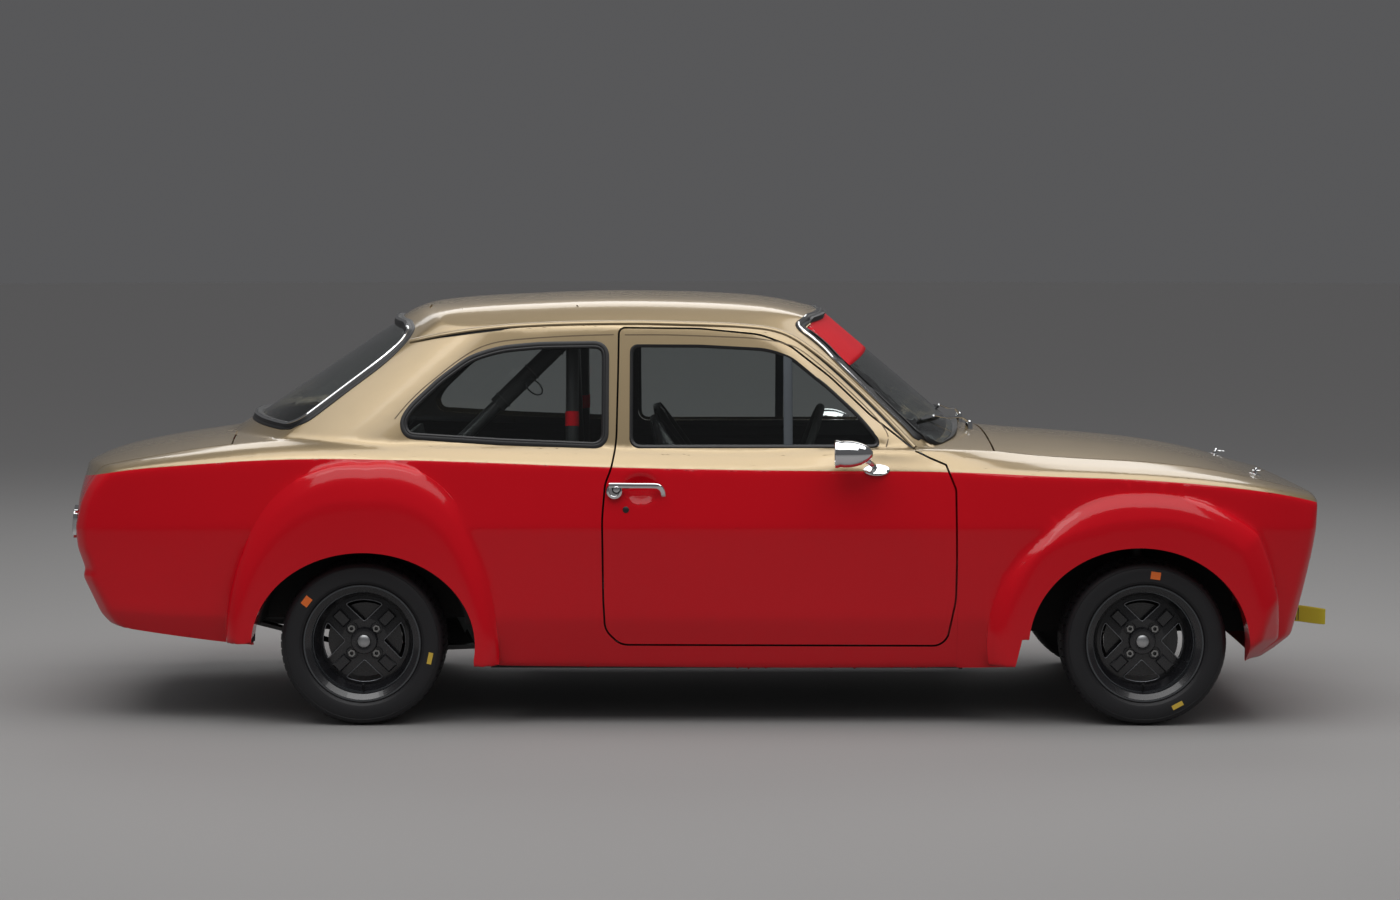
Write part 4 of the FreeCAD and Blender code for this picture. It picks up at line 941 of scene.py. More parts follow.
OUTER_RIM_RING = [(-0.0012, 0.1752), (0.0002, 0.1762), (0.0002, 0.1790), (-0.0010, 0.1805)]
INNER_RIM_RING = [(-0.0450, 0.1585), (-0.0436, 0.1568), (-0.0436, 0.1540), (-0.0455, 0.1528)]
VALVE = ((0.155, 0.703), (0.143, 0.708), (0.130, 0.716))      # radius, distance from the car's middle
LABEL_TURNS = {"front": (8, 152), "rear": (-52, 102)}         # degrees from the top: orange, yellow


def tyre_columns():
    """Radius, offset from the tyre's middle and depth of the cross cuts, from flank to flank."""
    columns = [(r, w, 0.0) for r, w in TYRE_FLANK]
    for near, far, deep in TREAD_RIBS:
        for k, w in enumerate((near, (near + far) / 2, far)):
            crown = TREAD_R - 0.0026 * (abs(w) / 0.08) ** 4
            if k == 0 and columns[-1][1] < 0.079:
                columns.append((crown - GROOVE, near + 0.0012, 0.0))
            columns.append((crown, w, deep))
            if k == 2 and far > -0.079:
                columns.append((crown - GROOVE, far - 0.0012, 0.0))
    return columns + [(r, -w, 0.0) for r, w in TYRE_FLANK[::-1]]


def tyre_shape(axle, s):
    columns = tyre_columns()
    points, faces, rows = [], [], len(columns)
    rings = PITCHES * len(CUT)
    for k in range(rings):
        pitch, part = divmod(k, len(CUT))
        for r, w, deep in columns:
            turn = 2 * math.pi * (pitch + CUT[part] + 0.4 * abs(w) / 0.08) / PITCHES
            radius = r - deep if part >= 2 else r
            points.append(Vector((axle.x + radius * math.sin(turn), s * (WHEEL_MIDDLE_Y + w),
                                  axle.z + radius * math.cos(turn))))
        here, there = k * rows, (k + 1) % rings * rows
        faces += [(here + j, here + (j + 1) % rows, there + (j + 1) % rows, there + j) for j in range(rows)]
    return points, faces


def wheel_place(axle, s, radius, turn, out):
    """A place on a wheel: radius, degrees forward from the top, distance from the car's middle."""
    a = math.radians(turn)
    return Vector((axle.x + radius * math.sin(a), s * out, axle.z + radius * math.cos(a)))


def flat_patch(axle, s, radius, turn, wide, high):
    """A thin blank label with its long side along the tyre."""
    place = wheel_place(axle, s, radius, turn, LABEL_Y)
    a = math.radians(turn)
    along, up = Vector((math.cos(a), 0, -math.sin(a))), Vector((math.sin(a), 0, math.cos(a)))
    points = [place + along * wide / 2 * i + up * high / 2 * j + Vector((0, s * w, 0))
              for w in (-0.002, 0.0003) for i, j in ((-1, -1), (1, -1), (1, 1), (-1, 1))]
    return points, [(0, 1, 2, 3), (4, 5, 6, 7), (0, 1, 5, 4), (1, 2, 6, 5), (2, 3, 7, 6), (3, 0, 4, 7)]


def chamfered_bar(axle, s, turn):
    """A raised bar on a spoke, its upper edges cut back."""
    a = math.radians(turn)
    along, aside = Vector((math.sin(a), 0, math.cos(a))), Vector((math.cos(a), 0, -math.sin(a)))
    points = []
    for out, cut in ((BAR_FOOT_Y, 0.0), (BAR_TOP_Y - BAR_CHAMFER, 0.0), (BAR_TOP_Y, BAR_CHAMFER)):
        near, far, half = BAR_NEAR + cut, BAR_FAR - cut, BAR_HALF - cut
        points += [Vector((axle.x, s * out, axle.z)) + along * radius + aside * wide
                   for radius, wide in ((near, -half), (far, -half), (far, half), (near, half))]
    faces = [(0, 1, 2, 3), (8, 9, 10, 11)]
    for level in (0, 4):
        for k in range(4):
            q = (k + 1) % 4
            faces.append((level + k, level + q, level + 4 + q, level + 4 + k))
    return points, faces


def window_edge(axle, s, turn):
    """A lighter metal strip along the chamfered edge round one window between the spokes."""
    a = SPOKE_HALF * math.sqrt(2)
    k = (a + math.sqrt(2 * WINDOW_REACH ** 2 - a * a)) / 2
    half = math.degrees(math.atan2(k - a, k))
    path = [(a + 0.002, 0.0)] + [(math.hypot(k, k - a), half * t / 8) for t in range(8, -9, -1)]
    corners = [wheel_place(axle, s, r, turn + d, SPOKE_FACE_Y) for r, d in path]
    dense = []
    for p, q in zip(corners, corners[1:] + corners[:1]):
        steps = max(1, int((q - p).length / 0.004))
        dense += [p.lerp(q, j / steps) for j in range(steps)]
    rows = [(-0.0011, -0.0015), (-0.0011, 0.0004), (0.0, 0.0009), (0.0011, 0.0004), (0.0011, -0.0015)]
    return swept(eased(dense, 2), [Vector((0, s, 0))] * len(dense), rows, True)


def nut_ring(name, finish):
    """A ring of bored wheel nuts, from their count, circle, radius and height."""
    tree = bpy.data.node_groups.new(name, "GeometryNodeTree")
    tree.interface.new_socket("Count", in_out="INPUT", socket_type="NodeSocketInt")
    for size in ("Circle", "Nut Radius", "Nut Height"):
        tree.interface.new_socket(size, in_out="INPUT", socket_type="NodeSocketFloat")
    tree.interface.new_socket("Geometry", in_out="OUTPUT", socket_type="NodeSocketGeometry")
    given, out = add(tree, "NodeGroupInput"), add(tree, "NodeGroupOutput")
    circle = add(tree, "GeometryNodeMeshCircle")
    nut, bore = add(tree, "GeometryNodeMeshCylinder"), add(tree, "GeometryNodeMeshCylinder")
    nut.inputs["Vertices"].default_value = 6
    bore.inputs["Vertices"].default_value = 16
    small, deep = (add(tree, "ShaderNodeMath", operation="MULTIPLY") for _ in range(2))
    small.inputs[1].default_value = 0.52      # bore to nut
    deep.inputs[1].default_value = 3.0        # the bore's cutter runs past both faces
    cut = add(tree, "GeometryNodeMeshBoolean", operation="DIFFERENCE")
    stand = add(tree, "GeometryNodeInstanceOnPoints")
    real = add(tree, "GeometryNodeRealizeInstances")
    coat = add(tree, "GeometryNodeSetMaterial")
    coat.inputs["Material"].default_value = finish
    for start, end in ((given.outputs["Count"], circle.inputs["Vertices"]),
                       (given.outputs["Circle"], circle.inputs["Radius"]),
                       (given.outputs["Nut Radius"], nut.inputs["Radius"]),
                       (given.outputs["Nut Height"], nut.inputs["Depth"]),
                       (given.outputs["Nut Radius"], small.inputs[0]),
                       (small.outputs[0], bore.inputs["Radius"]),
                       (given.outputs["Nut Height"], deep.inputs[0]),
                       (deep.outputs[0], bore.inputs["Depth"]),
                       (nut.outputs["Mesh"], cut.inputs["Mesh 1"]),
                       (bore.outputs["Mesh"], cut.inputs["Mesh 2"]),
                       (circle.outputs["Mesh"], stand.inputs["Points"]),
                       (cut.outputs["Mesh"], stand.inputs["Instance"]),
                       (stand.outputs["Instances"], real.inputs["Geometry"]),
                       (real.outputs["Geometry"], coat.inputs["Geometry"]),
                       (coat.outputs["Geometry"], out.inputs["Geometry"])):
        tree.links.new(start, end)
    return tree


def grown_mesh(tree, values):
    """The plain mesh that a tree of nodes gives for named inputs."""
    seed = bpy.data.objects.new("seed", bpy.data.meshes.new("seed"))
    bpy.context.collection.objects.link(seed)
    grown = seed.modifiers.new("grown", "NODES")
    grown.node_group = tree
    for item in tree.interface.items_tree:
        if item.in_out == "INPUT" and item.name in values:
            grown[item.identifier] = values[item.name]
    shape = bpy.data.meshes.new_from_object(seed.evaluated_get(bpy.context.evaluated_depsgraph_get()))
    points = [v.co.copy() for v in shape.vertices]
    faces = [tuple(p.vertices) for p in shape.polygons]
    bpy.data.objects.remove(seed)
    return points, faces


def nuts_on(axle, s, nuts):
    """The four nuts, turned to stand on the spokes."""
    turn = math.radians(SPOKE_TURNS[0])
    stood = [Vector((axle.x + p.x * math.cos(turn) - p.y * math.sin(turn), s * NUT_Y + p.z,
                     axle.z + p.x * math.sin(turn) + p.y * math.cos(turn))) for p in nuts[0]]
    return stood, nuts[1]


def wheel_relief(axle, s):
    """The raised bars, the wells round the nuts and the hub's boss."""
    bars = [chamfered_bar(axle, s, turn) for turn in SPOKE_TURNS]
    wells = [turned(wheel_place(axle, s, NUT_CIRCLE_R, turn, SPOKE_FACE_Y), (0, s, 0), NUT_WELL, 28)
             for turn in SPOKE_TURNS]
    return together(bars + wells + [turned((axle.x, s * HUB_Y, axle.z), (0, s, 0), HUB_BOSS, 56)])


def wheel_dressing():
    nuts = grown_mesh(nut_ring("wheel_nuts", NUT_STEEL),
                      {"Count": 4, "Circle": NUT_CIRCLE_R, "Nut Radius": 0.0115, "Nut Height": 0.014})
    for end, axle_x in (("front", FRONT_AXLE_X), ("rear", REAR_AXLE_X)):
        axle = Vector((axle_x, 0, AXLE_Z))
        for side, s in SIDES:
            at = "_%s_%s" % (end, side)
            wheel = "wheel" + at
            tyre = fitted("tyre_tread" + at, tyre_shape(axle, s), RUBBER, wheel, 28)
            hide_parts("tyre" + at)
            fitted("wheel_nuts" + at, nuts_on(axle, s, nuts), NUT_STEEL, wheel, 20)
            fitted("wheel_raised_bars" + at, wheel_relief(axle, s), RIM_BLACK, wheel, 30)
            edges = together([window_edge(axle, s, turn) for turn in WINDOW_TURNS])
            fitted("wheel_window_edges" + at, edges, BRIGHT_CHAMFER, wheel)
            cap = turned((axle.x, s * CAP_Y, axle.z), (0, s, 0), CENTRE_CAP, 40)
            fitted("wheel_centre_cap" + at, cap, ALLOY, wheel)
            rings = [turned((axle.x, s * RIM_EDGE_Y, axle.z), (0, s, 0), rows, 72)
                     for rows in (OUTER_RIM_RING, INNER_RIM_RING)]
            fitted("wheel_rim_rings" + at, together(rings), RIM_LIP, wheel)
            stem = tube([wheel_place(axle, s, radius, 180, y) for radius, y in VALVE], 0.0042)
            fitted("tyre_valve" + at, stem, SEAL, wheel)
            orange, yellow = LABEL_TURNS[end]
            fitted("tyre_label_orange" + at, flat_patch(axle, s, 0.213, -s * orange, 0.030, 0.023),
                   LABEL_ORANGE, wheel)
            fitted("tyre_label_yellow" + at, flat_patch(axle, s, 0.214, -s * yellow, 0.036, 0.014),
                   LABEL_YELLOW, wheel)


wheel_dressing()


# ---- mirrors, handles, wipers, pins ----
MIRROR = Vector((0.415, -0.832, 0.844))
MIRROR_SHELL = [(0.004, 0.0), (0.004, 0.036), (0.0, 0.0385), (0.0, 0.0425), (0.003, 0.0430), (0.010, 0.0425),
                (0.015, 0.0405), (0.019, 0.0400), (0.026, 0.0415), (0.034, 0.0415), (0.050, 0.0405),
                (0.066, 0.0375), (0.082, 0.0325), (0.096, 0.0255), (0.107, 0.0175), (0.114, 0.0095),
                (0.1165, 0.0)]
MIRROR_ARM = [(0.497, -0.812, 0.832), (0.520, -0.800, 0.817), (0.536, -0.770, 0.802), (0.545, -0.735, 0.792)]
MIRROR_FOOT = [(-0.004, 0.0), (-0.004, 0.030), (0.001, 0.031), (0.004, 0.028), (0.006, 0.020), (0.007, 0.0)]
MIRROR_FOOT_X, MIRROR_FOOT_Z = 0.545, 0.790
HANDLE_REAR, HANDLE_FRONT, HANDLE_TOP, HANDLE_SEAT_Y = -0.2826, -0.1004, 0.7515, -0.764
PULL_SECTION = [(-0.0085, -0.004), (-0.0083, 0.0012), (-0.0060, 0.0038), (0.0000, 0.0046), (0.0060, 0.0038),
                (0.0083, 0.0012), (0.0085, -0.004), (0.0, -0.0055)]
PULL_BOSS = [(-0.004, 0.0), (-0.004, 0.0262), (0.012, 0.0258), (0.019, 0.0235), (0.0215, 0.0195),
             (0.0222, 0.0165), (0.0190, 0.0150), (0.0190, 0.0)]
BUTTON_COLLAR = [(0.0180, 0.0), (0.0180, 0.0140), (0.0232, 0.0138), (0.0232, 0.0118), (0.0200, 0.0112),
                 (0.0200, 0.0)]
BUTTON = [(0.019, 0.0), (0.019, 0.0098), (0.0250, 0.0095), (0.0264, 0.0078), (0.0268, 0.0)]
DOOR_PLUG = [(-0.002, 0.0), (-0.002, 0.010), (0.0008, 0.0098), (0.002, 0.0080), (0.0024, 0.0)]
DOOR_PLUG_X, DOOR_PLUG_Z = -0.2213, 0.6686


def bullet_mirror():
    """The mirror's shell on its curved arm and oval foot."""
    place, way = on_flank(MIRROR_FOOT_X, MIRROR_FOOT_Z)
    foot, faces = turned(place, way, MIRROR_FOOT, 40)
    oval = [place + Vector(((p.x - place.x) * 1.3, p.y - place.y, (p.z - place.z) * 0.62)) for p in foot]
    arm = tube(curve_through(MIRROR_ARM, 0.006), 0.0085, 16)
    return together([turned(MIRROR, (1, 0, 0), MIRROR_SHELL, 64), arm, (oval, faces)])


def door_pull():
    """The handle's bar, bent in at its front end, and the boss under its rear end."""
    rear, front, middle = HANDLE_REAR, HANDLE_FRONT, HANDLE_TOP - 0.0085
    path = curve_through([(rear + 0.010, -0.7835, middle), (rear + 0.040, -0.7845, middle),
                          (rear + 0.090, -0.7850, middle - 0.0005), (front - 0.034, -0.7845, middle - 0.001),
                          (front - 0.020, -0.7835, middle - 0.004), (front - 0.011, -0.7800, middle - 0.013),
                          (front - 0.007, -0.7740, middle - 0.024),
                          (front - 0.006, -0.7660, middle - 0.033)], 0.004)
    bar = swept(path, [Vector((0, -1, 0))] * len(path), PULL_SECTION)
    boss = turned((rear + 0.0265, HANDLE_SEAT_Y, HANDLE_TOP - 0.0255), (0, -1, 0), PULL_BOSS, 40)
    return together([bar, boss])


def small_chrome():
    mirror, pull = bullet_mirror(), door_pull()
    glass = turned(MIRROR + Vector((-0.0002, 0, 0)), (1, 0, 0),
                   [(0.0036, 0.0), (0.0034, 0.036), (0.006, 0.0365)], 48)
    well = (HANDLE_REAR + 0.0330, HANDLE_SEAT_Y, HANDLE_TOP - 0.0195)
    collar = turned(well, (0, -1, 0), BUTTON_COLLAR, 36)
    button = turned(well, (0, -1, 0), BUTTON, 32)
    plug = turned(*on_flank(DOOR_PLUG_X, DOOR_PLUG_Z), DOOR_PLUG, 28)
    for side, s in SIDES:
        door = "door_" + side
        chrome = fitted("mirror_shell_" + side, on_side(mirror, s), CHROME, door)
        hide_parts("mirror_" + side)
        fitted("mirror_glass_" + side, on_side(glass, s), CHROME, door)
        handle = fitted("door_pull_" + side, on_side(pull, s), CHROME, door)
        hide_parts("door_handle_" + side)
        fitted("door_button_" + side, on_side(button, s), CHROME, door)
        fitted("door_button_collar_" + side, on_side(collar, s), SEAL, door)
        fitted("door_plug_" + side, on_side(plug, s), SEAL, door)


small_chrome()


WIPER_PIVOT_X, WIPER_PIVOT_Z = 0.874, 0.868
WIPER_SPANS = ((-0.120, -0.520), (0.330, -0.060))      # y of each pivot and of its blade's tip
WIPER_CAP = [(0.0, 0.0), (0.0, 0.0125), (0.018, 0.0120), (0.030, 0.0100), (0.034, 0.006), (0.034, 0.0)]
BLADE_HOLDER = [(-0.004, 0.0), (-0.004, 0.0022), (0.004, 0.0022), (0.004, 0.0)]
BLADE_RUBBER = [(-0.0012, 0.0006), (-0.0035, 0.0060), (-0.0030, 0.0096), (0.0030, 0.0096), (0.0035, 0.0060),
                (0.0012, 0.0006)]


def wiper_arms():
    """Two arms parked along the foot of the windscreen, with their blades on the glass."""
    pane = shell_tree(["windscreen"])
    chrome, rubber = [], []
    for pivot_y, tip_y in WIPER_SPANS:
        pivot = Vector((WIPER_PIVOT_X, pivot_y, WIPER_PIVOT_Z))
        chrome.append(turned(pivot, (0, 0, 1), WIPER_CAP, 28))
        blade = []
        for k in range(12):
            y = pivot_y + (tip_y - pivot_y) * (0.28 + 0.72 * k / 11)
            hit = from_ahead(pane, y, 0.925 + 0.012 * k / 11 - 0.05 * (y * y))
            if hit:
                blade.append(hit)
        middle, out = blade[len(blade) // 2]
        arm = curve_through([pivot + Vector((0, 0, 0.028)),
                             pivot.lerp(middle, 0.25) + Vector((0.004, 0, 0.034)),
                             pivot.lerp(middle, 0.7) + out * 0.020, middle + out * 0.014], 0.012)
        chrome.append(tube(arm, 0.0036, 10))
        ways = [way for place, way in blade]
        chrome.append(swept([place + way * 0.0095 for place, way in blade], ways, BLADE_HOLDER))
        rubber.append(swept([place for place, way in blade], ways, BLADE_RUBBER))
    arms = fitted("wiper_arms", together(chrome), CHROME, "body")
    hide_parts("wipers")
    fitted("wiper_blades", together(rubber), SEAL, "body")


wiper_arms()


BONNET_PIN_X, BONNET_PIN_Y = 1.752, 0.43
PIN_PLATE = [(-0.002, 0.0), (-0.002, 0.020), (0.0012, 0.020), (0.0022, 0.0185), (0.0022, 0.0)]
PIN_POST = [(0.0, 0.0), (0.0, 0.0058), (0.019, 0.0056), (0.0215, 0.0040), (0.022, 0.0)]


def bonnet_pins():
    for side, s in SIDES:
        place, way = on_top(BONNET_PIN_X, s * BONNET_PIN_Y)
        plate, post = turned(place, way, PIN_PLATE, 36), turned(place, way, PIN_POST, 24)
        clip = []
        for k in range(15):
            t = k / 14 * 1.3 - 0.35
            clip.append(place + way * 0.013 + Vector((0.030 * t, 0.0085 * math.sin(3.6 * t + 0.4) * s, 0.0)))
        wire = tube(curve_through(clip, 0.004), 0.0016, 8)
        fitted("bonnet_pin_" + side, together([plate, post, wire]), CHROME, "bonnet")


bonnet_pins()

# ---- pads of the cage, red tape and ties ----
CAGE_HOOP_X = -0.395
CAGE_R = 0.020


def loose_tie(hang, s):
    """The loose end of a tie, curled under the place where it hangs."""
    turns = [k * math.pi / 8 for k in range(14)]
    return [hang + Vector((0.034 - 0.026 * math.cos(a), 0.004 * math.sin(2 * a) * s,
                           -0.022 * math.sin(a) - 0.012 + 0.012 * math.cos(a))) for a in turns]


def cage_pads():
    foam, ties = [], []
    for s in (-1, 1):
        top, foot = Vector((CAGE_HOOP_X, s * 0.440, 1.200)), Vector((REAR_AXLE_X, s * 0.570, 0.580))
        foam.append(tube([top.lerp(foot, 0.03 + 0.34 * k / 16) for k in range(17)], 0.0275, 16))
        if s < 0:
            hang = top.lerp(foot, 0.24) + Vector((0, s * 0.026, -0.010))
            ties.append(tube(loose_tie(hang, s), 0.0024, 8))
        for t in (0.08, 0.20, 0.34):
            middle = top.lerp(foot, t)
            along = (foot - top).normalized() * 0.0022
            ties.append(tube([middle - along, middle + along], 0.0298, 20))
    fitted("cage_foam", together(foam), FOAM_BLACK, "body")
    fitted("cage_ties", together(ties), SEAL, "body")


cage_pads()


def hoop_tape():
    """Red tape round the main hoop's upright, where its own tube runs."""
    cage = rays_on([frame["nodes"]["roll_cage"]])
    bands = []
    for s in (-1, 1):
        rows = []
        for z in (0.907, 0.918, 0.930, 0.941, 0.952):
            hit = cage.ray_cast(Vector((CAGE_HOOP_X, s * 0.72, z)), Vector((0, -s, 0)), 0.3)[0]
            if hit:
                rows.append(Vector((CAGE_HOOP_X, hit.y - s * CAGE_R, z)))
        if len(rows) > 2:
            bands.append(tube(rows, CAGE_R + 0.0016, 24))
    if bands:
        fitted("hoop_tape", together(bands), FILM_RED, "body")


hoop_tape()


# ---- seats: a moulded shell with separate pads and a harness ----
SEAT_Y = 0.33
PULL_IN = 0.012           # how far a pad's sides pull in between its corners
PADS = (                  # name, two ends as (x, half width, z), thickness, crown, fill
    ("seat_cushion_", ((0.055, 0.165, 0.300), (0.400, 0.165, 0.318)), 0.045, 0.020, 0.6),
    ("seat_back_pad_", ((-0.128, 0.150, 0.815), (0.020, 0.160, 0.400)), 0.038, 0.016, 0.6),
    ("seat_head_pad_", ((-0.150, 0.105, 0.918), (-0.132, 0.130, 0.830)), 0.026, 0.010, 0.7),
)
SHOULDER_STRAP = ((-0.100, 1, 0.835), (-0.040, 1, 0.760), (0.030, 0.8, 0.600), (0.075, 0.5, 0.470),
                  (0.125, 0.25, 0.412))
LAP_STRAP = ((0.075, 1, 0.372), (0.115, 0.6, 0.404), (0.140, 0.2, 0.412))      # x, share of its spread, z
SHOULDER_SPREAD, LAP_SPREAD, STRAP_WIDE = 0.085, 0.160, 0.050
BUCKLE = [(0.0, 0.0), (0.0, 0.034), (0.010, 0.033), (0.014, 0.028), (0.015, 0.0)]


def pillow(corners, thick, crown, cuts=7):
    """A closed crowned pad over four corners, its sides pulled in between them."""
    a, b, c, d = (Vector(p) for p in corners)
    up = (b - a).cross(d - a).normalized()
    top, low, count = [], [], cuts * 4
    for j in range(count + 1):
        for i in range(count + 1):
            u, v = i / count, j / count
            ends_in = PULL_IN * (4 * u * (1 - u)) * (2 * v - 1) ** 2
            sides_in = PULL_IN * (4 * v * (1 - v)) * (2 * u - 1) ** 2
            flat = a.lerp(b, u).lerp(d.lerp(c, u), v)
            flat += ((d - a).normalized() * ends_in * (1 if v < 0.5 else -1)
                     + (b - a).normalized() * sides_in * (1 if u < 0.5 else -1))
            rise = (1 - (2 * u - 1) ** 6) * (1 - (2 * v - 1) ** 6)
            swell = (1 - (2 * u - 1) ** 2) * (1 - (2 * v - 1) ** 2)
            channel = 0.004 * sum(math.exp(-((v - w) / 0.018) ** 2) for w in (0.2, 0.4, 0.6, 0.8)) * rise
            top.append(flat + up * (thick * rise ** 0.4 + crown * swell - channel))
            low.append(flat)
    points = top + low
    span, base, faces = count + 1, len(top), []
    for j in range(count):
        for i in range(count):
            k = j * span + i
            faces.append((k, k + 1, k + span + 1, k + span))
            faces.append((base + k, base + k + span, base + k + span + 1, base + k + 1))
    for i in range(count):
        for k, q in ((i, i + 1), (count * span + i + 1, count * span + i), ((i + 1) * span, i * span),
                     (i * span + count, (i + 1) * span + count)):
            faces.append((k, q, base + q, base + k))
    return points, faces


def webbing(rows, out, wide, thick=0.0022, step=0.012):
    """A flat strap through some places, its broad side facing out."""
    path = curve_through(rows, step)
    half = wide / 2
    return swept(path, [Vector(out)] * len(path), [(-half, 0.0), (-half, thick), (half, thick), (half, 0.0)])


def seat_shape(y):
    """The moulded shell of one seat, lofted from its side outline."""
    # x, z, half width and depth of the wings, from the head down and forward
    back = [(-0.150, 0.930, 0.110, 0.020), (-0.138, 0.860, 0.165, 0.050), (-0.105, 0.760, 0.195, 0.085),
            (-0.068, 0.650, 0.200, 0.105), (-0.030, 0.520, 0.200, 0.110), (0.010, 0.400, 0.200, 0.120),
            (0.060, 0.290, 0.200, 0.125), (0.140, 0.255, 0.200, 0.120), (0.250, 0.262, 0.200, 0.100),
            (0.350, 0.285, 0.198, 0.080), (0.425, 0.310, 0.190, 0.050)]
    points, rows = [], 0
    path = [Vector((row[0], 0, row[1])) for row in back]
    for k, (x, z, wide, deep) in enumerate(back):
        along = (path[min(k + 1, len(path) - 1)] - path[max(k - 1, 0)]).normalized()
        out = Vector((-along.z, 0, along.x))
        if out.x + out.z < 0:
            out = -out
        ring = [(-wide, deep), (-wide * 1.02, deep * 0.6), (-wide * 0.96, 0.012), (-wide * 0.75, -0.004),
                (0, -0.010), (wide * 0.75, -0.004), (wide * 0.96, 0.012), (wide * 1.02, deep * 0.6),
                (wide, deep)]
        points += [Vector((x, y + a, z)) + out * o for a, o in ring]
        rows = len(ring)
    faces = [(k * rows + j, k * rows + j + 1, (k + 1) * rows + j + 1, (k + 1) * rows + j)
             for k in range(len(back) - 1) for j in range(rows - 1)]
    return points, faces


def pad_corners(y, near, far):
    """A pad's four corners, from its two ends and the seat's middle y."""
    return [(near[0], y - near[1], near[2]), (far[0], y - far[1], far[2]),
            (far[0], y + far[1], far[2]), (near[0], y + near[1], near[2])]


def seats():
    for side, s in SIDES:
        y = s * SEAT_Y
        shell = fitted("seat_shell_" + side, seat_shape(y), SEAT_SHELL, "body", 60)
        wall = shell.modifiers.new("wall", "SOLIDIFY")
        wall.thickness, wall.offset = 0.007, -1.0
        smooth = shell.modifiers.new("smooth", "SUBSURF")
        smooth.levels = smooth.render_levels = 2
        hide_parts("seat_" + side)
        for name, ends, thick, crown, fill in PADS:
            shape = pillow(pad_corners(y, *ends), thick, crown)
            fitted(name + side, shape, SEAT_CLOTH, "body", 50)
        straps = [webbing([(x, y + a * share, z) for x, share, z in rows], out, STRAP_WIDE)
                  for rows, out, apart in ((SHOULDER_STRAP, (1, 0, 0.35), SHOULDER_SPREAD),
                                           (LAP_STRAP, (0.3, 0, 1), LAP_SPREAD))
                  for a in (-apart, apart)]
        fitted("harness_straps_" + side, together(straps), HARNESS, "body", 50)
        buckle = turned((0.133, y, 0.414), (0.45, 0, 0.9), BUCKLE, 32)
        fitted("harness_buckle_" + side, buckle, NUT_STEEL, "body")


seats()


# ---- dashboard dials ----
DIALS = ((-0.395, 0.745, 0.040), (-0.265, 0.745, 0.040), (-0.330, 0.700, 0.024), (-0.190, 0.700, 0.024),
         (-0.130, 0.745, 0.024), (0.30, 0.735, 0.045))      # y, z, radius
TO_CREW = Vector((-1, 0, 0))


def dial_bar(ends, half, high):
    """A thin straight bar on a dial's face."""
    return swept(ends, [TO_CREW] * 2, [(-half, 0), (-half, high), (half, high), (half, 0)])


def dials():
    rims, faces, hands = [], [], []
    board = rays_on([frame["nodes"]["dashboard"]])
    for y, z, r in DIALS:
        hit = board.ray_cast(Vector((0.0, y, z)), Vector((1, 0, 0)))[0]
        if not hit:
            continue
        place = Vector((hit.x, y, z))
        rim = [(-0.002, r + 0.004), (0.006, r + 0.004), (0.008, r + 0.001), (0.006, r - 0.001),
               (-0.002, r - 0.001)]
        rims.append(turned(place, TO_CREW, rim, 40))
        faces.append(turned(place, TO_CREW, [(0.0012, r), (0.0020, r * 0.5), (0.0020, 0.0)], 40))
        for k in range(11):
            turn = math.radians(-135 + 27 * k)
            way = Vector((0, math.sin(turn), math.cos(turn)))
            on_face = place + Vector((-0.0016, 0, 0))
            hands.append(dial_bar([on_face + way * (r * 0.78), on_face + way * (r * 0.94)], 0.0007, 0.0009))
        hands.append(dial_bar([place + Vector((-0.0025, 0, 0)),
                               place + Vector((-0.0025, -r * 0.5, r * 0.5))], 0.001, 0.001))
    fitted("dial_rims", together(rims), CHROME, "body")
    fitted("dial_faces", together(faces), DASH, "body")
    fitted("dial_marks", together(hands), DIAL_WHITE, "body")


dials()


# ---- lamps and grille ----
HEADLAMP_Y, HEADLAMP_Z = 0.480, 0.572
LENS_R, LENS_THICK, LENS_DOME_X, LENS_DOME_R = 0.0795, 0.004, 1.684, 0.220
BOWL = [(1.8815, 0.0775), (1.872, 0.072), (1.856, 0.060), (1.840, 0.043), (1.830, 0.024), (1.828, 0.012),
        (1.826, 0.0), (1.823, 0.0), (1.824, 0.030), (1.838, 0.052), (1.858, 0.0695), (1.8815, 0.0795)]
LAMP_RIM = [(1.878, 0.0790), (1.886, 0.0800), (1.8955, 0.0775), (1.8985, 0.0735), (1.9010, 0.0765),
            (1.8990, 0.0830), (1.8900, 0.0865), (1.8800, 0.0870)]
LAMP_BULB = [(1.827, 0.0), (1.827, 0.009), (1.846, 0.0085), (1.852, 0.006), (1.854, 0.0)]


def headlamps():
    dome = [(LENS_DOME_X + math.sqrt(LENS_DOME_R ** 2 - r * r), r)
            for r in [LENS_R * k / 14 for k in range(15)]]
    lens = dome + [(x - LENS_THICK, r) for x, r in dome[::-1]]
    lenses, bowls, rims, bulbs = [], [], [], []
    for s in (1, -1):
        at = Vector((0, s * HEADLAMP_Y, HEADLAMP_Z))
        for made, rows, steps in ((lenses, lens, 64), (bowls, BOWL, 56), (rims, LAMP_RIM, 64),
                                  (bulbs, LAMP_BULB, 20)):
            made.append(turned(at, (1, 0, 0), rows, steps))
    glass = fitted("headlamp_lenses", together(lenses), FLUTED_GLASS, "body")
    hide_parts("headlamps")
    fitted("headlamp_bowls", together(bowls), CHROME, "body")
    fitted("headlamp_rims", together(rims), CHROME, "body")
    fitted("headlamp_bulbs", together(bulbs), BULB, "body")


headlamps()


